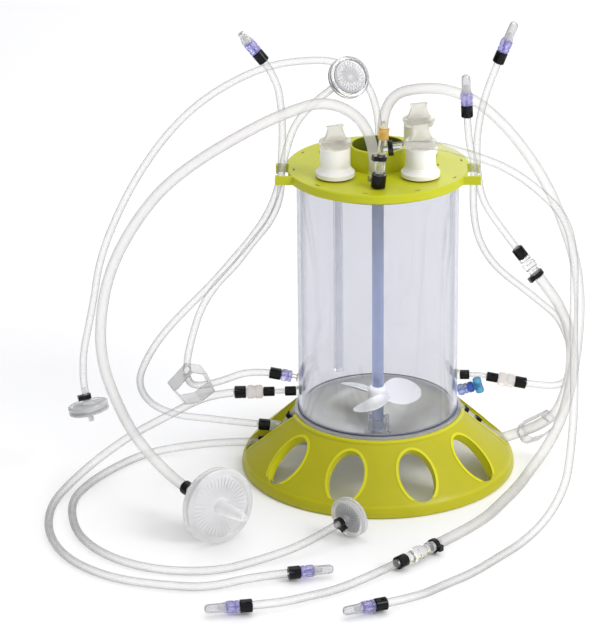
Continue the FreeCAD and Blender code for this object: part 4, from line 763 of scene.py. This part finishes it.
# disc filters: clear housing in two halves, white membrane with fine spokes
def disc_filter(node, hose, offset, face, big=False):
    s, out, e, into = ends(hose)
    b = BORE[ROUTES[hose][0]][1] * 500 - 0.05
    place = aim(e + into * offset * MM, into)
    if big:
        r = 33.5
        prof = [(0, -24.5), (b, -24.5), (b, -13.05), (6.0, -13.05), (6.3, -12.4), (6.6, -6.2), (8.5, -5.0), (26.6, -3.7), (27.4, -3.9), (28.0, -4.7), (28.6, -4.95),
                (32.2, -4.95), (33.0, -4.5), (33.3, -3.6), (33.0, -1.0), (32.6, -0.5), (32.6, 0.5), (33.0, 1.0), (33.3, 3.6), (33.0, 4.5), (32.2, 4.95),
                (28.6, 4.95), (28.0, 4.6), (27.4, 3.7), (26.6, 3.45), (9.4, 4.3), (0, 4.3)]
        stem = [(1.6, 4.4), (7.9, 4.4), (7.0, 5.0), (6.5, 6.2), (6.2, 9.5), (5.8, 17.0), (5.5, 22.0), (5.1, 27.4), (4.6, 31.0), (4.1, 35.0),
                (3.6, 40.2), (3.1, 41.6), (2.4, 42.0), (1.6, 42.0)]
        stem_piece = lathe(node + "_stem", stem, place, FROST, "base", 56, 26.0)
        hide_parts(node)
        inner, spokes, ring_r, fold = 26.0, 40, (9.8, 25.2), 2.4
    else:
        r = 18.3
        prof = [(0, -18.6), (b, -18.6), (b, -7.05), (4.0, -7.05), (4.2, -6.4), (4.4, -4.0), (5.4, -3.3), (13.9, -2.9), (14.5, -3.1), (15.0, -3.7), (15.5, -3.9),
                (17.3, -3.9), (17.9, -3.5), (18.15, -2.9), (18.0, -0.9), (17.6, -0.4), (17.6, 0.4), (18.0, 0.9), (18.15, 2.9), (17.9, 3.5), (17.3, 3.9),
                (15.5, 3.9), (15.0, 3.6), (14.5, 2.9), (13.9, 2.7)]
        if face > 4:
            prof += [(4.6, 3.0), (3.9, 3.6), (3.3, 4.6), (2.6, face - 0.6), (2.2, face), (1.2, face), (1.2, 4.0), (0, 4.0)]
        else:
            prof += [(4.6, 2.9), (3.8, 3.3), (2.0, 3.6), (0, 3.6)]
        inner, spokes, ring_r, fold = 14.4, 28, (5.2, 13.2), 1.7
    bm = bmesh.new()
    lathe_into(bm, prof, place, 96)
    piece = mesh_object(node + "_housing", bm, HOUSING if big else (SMOKE if node == "feed_filter" else RIM), "base", 26.0)
    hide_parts(node)
    # fine spokes standing on both faces
    bm = bmesh.new()
    face_h = 3.75 if big else 2.85
    for side_ in (1, -1):
        h = face_h * side_ + (0.0 if side_ > 0 else -0.1)
        for k in range(spokes):
            spoke = place @ Matrix.Rotation(2 * math.pi * k / spokes, 4, "Z")
            z0, z1 = sorted((h - 0.35 * side_, h + 0.38 * side_))
            start = ring_r[0] if k % 2 == 0 else ring_r[0] + 0.35 * (ring_r[1] - ring_r[0])
            block_into(bm, spoke, (start, -0.16 if not big else -0.30, z0), (ring_r[1], 0.16 if not big else 0.30, z1))
    spoke_piece = mesh_object(node + "_spokes", bm, HOUSING, "base", 40.0)
    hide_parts(node)
    disc = [(0, -fold * 0.5), (inner - 0.6, -fold * 0.5), (inner, -fold * 0.3), (inner, fold * 0.3), (inner - 0.6, fold * 0.5), (0, fold * 0.5)]
    disc_piece = lathe(node + "_membrane", disc, place, MEMBRANE, "base", 72, 30.0)
    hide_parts(node)
    return piece


disc_filter("vent_filter", "vent_hose", 13.0, 42.0, True)
disc_filter("exhaust_filter", "exhaust_hose", 7.0, 12.5)
disc_filter("feed_filter", "feed_hose", 7.0, 3.6)
disc_filter("drain_filter", "drain_hose", 7.0, 9.0)

# impeller: three broad rounded blades twisted along their length, thick at the hub
low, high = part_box("impeller")
hub_low, hub_high = low[2] / MM + 1.4, high[2] / MM - 0.4
reach = 40.8
bm = bmesh.new()
mid = (hub_low + hub_high) / 2
hub = [(5.3, hub_low), (7.6, hub_low), (8.4, hub_low + 0.5), (8.8, hub_low + 1.6), (8.9, mid), (8.6, hub_high - 4.0), (7.8, hub_high - 1.6), (6.8, hub_high - 0.4),
       (6.0, hub_high), (5.3, hub_high)]
lathe_into(bm, hub, Matrix.Identity(4), 48)
rows, cols = 22, 18
for blade in range(3):
    base_angle = math.radians(90 + 120 * blade + 47)
    sheets = []
    for face in (1, -1):
        grid = []
        for i in range(rows + 1):
            t = i / rows
            rad = 6.0 + (reach - 6.2) * t
            # outline: round paddle, narrow at the root
            w = 17.5 * math.sqrt(max(0.0, 1 - (2 * t - 1.0) ** 2 * 0.999)) if t > 0.5 else 17.5 * (0.45 + 0.55 * math.sin(math.pi * t))
            w = max(w, 0.35)
            pitch = math.radians(27 - 12 * t)
            row = []
            for j in range(cols + 1):
                s = -1 + 2 * j / cols
                across = w * s
                thick = (1.55 - 0.75 * t) * math.sqrt(max(0.0, 1 - s * s)) * (1.0 if t < 0.9 else math.sqrt(max(0.0, 1 - ((t - 0.9) / 0.1) ** 2)) + 0.02) + 0.02
                cup = 1.3 * (s * s - 0.3) * math.sin(math.pi * min(1.0, t * 1.05))
                lift = face * thick + cup
                x = across * math.cos(pitch) + lift * math.sin(pitch)
                z = -across * math.sin(pitch) + lift * math.cos(pitch)
                z = max(min(z, (high[2] / MM - mid) - 0.05), (low[2] / MM - mid) + 0.05)
                # keep inside the swept circle
                yy = math.sqrt(max(0.0, rad * rad - (x * 0.35) ** 2))
                row.append((x, yy, z + mid - 0.5))
            grid.append(row)
        sheets.append(grid)
    turn = Matrix.Rotation(base_angle - math.pi / 2, 4, "Z")
    verts = [[[bm.verts.new(turn @ V((p[0] * MM, p[1] * MM, p[2] * MM))) for p in row] for row in grid] for grid in sheets]
    for g, grid in enumerate(verts):
        for i in range(rows):
            for j in range(cols):
                quad = (grid[i][j], grid[i][j + 1], grid[i + 1][j + 1], grid[i + 1][j])
                bm.faces.new(quad if g == 0 else tuple(reversed(quad)))
    a, b2 = verts
    for i in range(rows):
        bm.faces.new((a[i][0], a[i + 1][0], b2[i + 1][0], b2[i][0]))
        bm.faces.new((a[i + 1][cols], a[i][cols], b2[i][cols], b2[i + 1][cols]))
    for j in range(cols):
        bm.faces.new((a[0][j + 1], a[0][j], b2[0][j], b2[0][j + 1]))
        bm.faces.new((a[rows][j], a[rows][j + 1], b2[rows][j + 1], b2[rows][j]))
bmesh.ops.remove_doubles(bm, verts=bm.verts, dist=0.00002)
rotor = mesh_object("impeller_blades", bm, BLADE, "agitator", 50.0)
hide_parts("impeller")

# upper left wall port: clear neck, lavender collar
s, out, e, into = ends("inlet_hose")
wall_point = s - out * ((-0.0715 - s.x) / -out.x)
gap = (s - wall_point).length / MM
place = aim(wall_point, out)
neck = lathe("port_left_upper_neck", [(0.9, 0.6), (4.3, 0.6), (4.4, 1.2), (4.0, 1.7), (2.7, 2.0), (2.6, gap - 10.0), (3.4, gap - 9.6), (0.9, gap - 9.6)], place, FITTING, "base", 40)
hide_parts("port_fitting_left_upper")
collar = lathe("port_left_upper_collar", [(0.9, gap - 9.5), (4.6, gap - 9.5), (5.2, gap - 9.0), (5.3, gap - 8.2), (5.3, gap - 6.8), (4.8, gap - 6.4), (4.8, gap - 5.6), (5.4, gap - 5.2), (5.5, gap - 1.4), (4.9, gap - 0.4),
                                          (4.2, gap - 0.05), (1.55, gap - 0.05), (1.55, gap + 11), (0.9, gap + 11)], place, PURPLE, "base", 64, 30.0, ribs=(16, 0.35, gap - 5.3, gap - 1.3))
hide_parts("port_fitting_left_upper")

# sampling valve: stepped pale body, deep blue seat, light blue cross bar
low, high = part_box("sampling_valve_body")
vdir = V((0.96, 0, 0.28)).normalized()
wall_valve = V((0.0715, 0.008, 0.0666))
place = aim(wall_valve, vdir)
body_prof = [(0.9, 0.6), (4.2, 0.6), (4.3, 1.8), (5.1, 2.3), (5.3, 3.0), (5.3, 5.4), (4.9, 6.0), (4.4, 6.2), (4.4, 7.2), (4.9, 7.6), (5.0, 9.6), (4.4, 10.0), (3.4, 10.2), (0.9, 10.2)]
piece = lathe("valve_body_pale", body_prof, place, LILAC, "base", 56, 30.0, ribs=(12, 0.4, 2.9, 5.5))
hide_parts("sampling_valve_body")
seat = lathe("valve_body_seat", [(0, 10.3), (3.6, 10.3), (4.7, 10.8), (4.9, 11.6), (4.9, 14.6), (4.2, 15.3), (2.6, 15.4), (2.55, 21.6), (0, 21.8)], place, BLUE, "base", 48, 30.0)
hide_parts("sampling_valve_body")
bm = bmesh.new()
lathe_into(bm, [(2.7, 15.6), (3.9, 15.6), (4.2, 16.2), (4.2, 19.0), (2.7, 19.0)], place, 40)
bar = place @ Matrix.Translation((0, 0, 20.0 * MM)) @ Matrix.Rotation(math.radians(90), 4, "Y")
bar_prof = [(0, -7.3)] + arc_points(2.4, -5.8, 1.5, -90, 0, 5) + [(3.95, -3.0), (3.6, -2.0), (3.6, 2.0), (3.95, 3.0)] + arc_points(2.4, 5.8, 1.5, 0, 90, 5) + [(0, 7.3)]
lathe_into(bm, bar_prof, bar, 40, ribs=(10, 0.25, 2.9, 6.0))
knob = mesh_object("valve_cross_knob", bm, CYAN, "valve_knob", 35.0)
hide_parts("sampling_valve_knob")

# dark bead of adhesive round the foot of the vessel tube
bead = lathe("vessel_foot_bead", [(71.6, 56.45), (72.1, 56.42), (72.45, 56.7), (72.4, 57.3), (72.0, 57.7), (71.6, 57.6)], Matrix.Identity(4), NAVY, "base", 160, 60.0)

# black cuff where the vent hose meets the long back stem of its filter
line = hose_lines["vent_hose"]
walk, at = 0.0, len(line) - 1
while walk < 0.0285:
    walk += (line[at] - line[at - 1]).length
    at -= 1
place = aim(line[at], (line[at + 1] - line[at - 1]).normalized())
cuff = lathe("vent_hose_cuff", [(4.82, -3.6), (5.9, -3.6), (6.25, -3.2), (6.3, -0.6), (5.95, -0.2), (5.95, 0.4), (6.3, 0.8), (6.25, 3.2), (5.9, 3.6), (4.82, 3.6)], place, BLACK, "base", 48, 30.0)

# painted shade: dark plates in the small slots of the lid, standing in for the shade on their floors
lid_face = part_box("port_gaskets")[0].z / MM
bm = bmesh.new()
for k in range(10):
    spot = Matrix.Rotation(math.radians(-90 - 8.6 + 36 * k), 4, "Z")
    block_into(bm, spot, (73.75, -2.45, lid_face - 1.58), (75.25, 2.45, lid_face - 0.25), 0.1)
for x, y in ((52, 0), (-52, 35)):
    block_into(bm, Matrix.Identity(4), (x + 0.05, y - 2.15, lid_face - 1.58), (x + 1.55, y + 2.25, lid_face - 0.25), 0.1)
slot_shade_plates = mesh_object("lid_slot_painted_shade", bm, PAINTED_SHADE, "base", 30.0)

# ---------------------------------------------------------------- floor, light
bm = bmesh.new()
bmesh.ops.create_grid(bm, x_segments=1, y_segments=1, size=9.0)
floor_mesh = bpy.data.meshes.new("floor")
bm.to_mesh(floor_mesh)
bm.free()
floor = bpy.data.objects.new("floor", floor_mesh)
scene.collection.objects.link(floor)
floor.location.z = min(0.0, cad_low.z) - 0.0002
k = Mat("floor")
p = k.principled((0.975, 0.975, 0.975), 0.6)
p.inputs["Specular IOR Level"].default_value = 0.2
floor.data.materials.append(k.finish(p.outputs["BSDF"]))

world = bpy.data.worlds.new("studio")
scene.world = world
world.use_nodes = True
wt = world.node_tree
wt.nodes.clear()
wo = wt.nodes.new("ShaderNodeOutputWorld")
bg = wt.nodes.new("ShaderNodeBackground")
tc = wt.nodes.new("ShaderNodeTexCoord")
sep = wt.nodes.new("ShaderNodeSeparateXYZ")


def world_ramp(axis, stops):
    mr = wt.nodes.new("ShaderNodeMapRange")
    mr.inputs["From Min"].default_value = -1.0
    mr.inputs["From Max"].default_value = 1.0
    wt.links.new(sep.outputs[axis], mr.inputs["Value"])
    ramp = wt.nodes.new("ShaderNodeValToRGB")
    wt.links.new(mr.outputs["Result"], ramp.inputs["Fac"])
    e = ramp.color_ramp.elements
    while len(e) < len(stops):
        e.new(0.5)
    for k, (at, v) in enumerate(stops):
        e[k].position = at
        e[k].color = (v, v, v * 1.01, 1)
    return ramp.outputs["Color"]


wt.links.new(tc.outputs["Generated"], sep.inputs["Vector"])
depth_part = world_ramp("Y", [(0.0, 0.85), (0.5, 0.9), (0.8, 1.0), (1.0, 1.0)])
side_part = world_ramp("X", [(0.0, 0.30), (0.30, 0.58), (0.52, 1.0), (1.0, 1.05)])
both = wt.nodes.new("ShaderNodeMixRGB")
both.blend_type = "MULTIPLY"
both.inputs["Fac"].default_value = 1.0
wt.links.new(depth_part, both.inputs["Color1"])
wt.links.new(side_part, both.inputs["Color2"])
wt.links.new(both.outputs["Color"], bg.inputs["Color"])
bg.inputs["Strength"].default_value = 0.97
wt.links.new(bg.outputs["Background"], wo.inputs["Surface"])


def area(name, place, aim, size, power, color=(1, 1, 1), size_y=None, spread=180):
    data = bpy.data.lights.new(name, "AREA")
    data.shape = "RECTANGLE"
    data.size, data.size_y = size, size_y or size
    data.energy = power
    data.color = color
    data.spread = math.radians(spread)
    obj = bpy.data.objects.new(name, data)
    scene.collection.objects.link(obj)
    obj.location = place
    obj.rotation_mode = "QUATERNION"
    obj.rotation_quaternion = (V(aim) - V(place)).to_track_quat("-Z", "Y")
    return obj


area("key", (1.5, -1.0, 1.4), (0, 0, 0.15), 0.9, 20)
area("top", (-0.1, 0.4, 2.4), (0, 0, 0.1), 1.6, 11)
area("inside_left", (-0.045, -0.02, 0.258), (-0.01, 0, 0.05), 0.04, 0.021, spread=44)
area("inside_right", (0.045, -0.02, 0.258), (0.01, 0, 0.05), 0.04, 0.021, spread=44)
area("strip_back", (0.4, 2.2, 0.9), (0, 0, 0.2), 0.5, 6, size_y=1.6)

scene.view_settings.view_transform = "Standard"
scene.view_settings.look = "None"
scene.cycles.use_denoising = True
scene.cycles.max_bounces = 24
scene.cycles.transmission_bounces = 24
scene.cycles.transparent_max_bounces = 48
scene.cycles.glossy_bounces = 6
scene.cycles.diffuse_bounces = 4
scene.cycles.caustics_reflective = False
scene.cycles.caustics_refractive = False
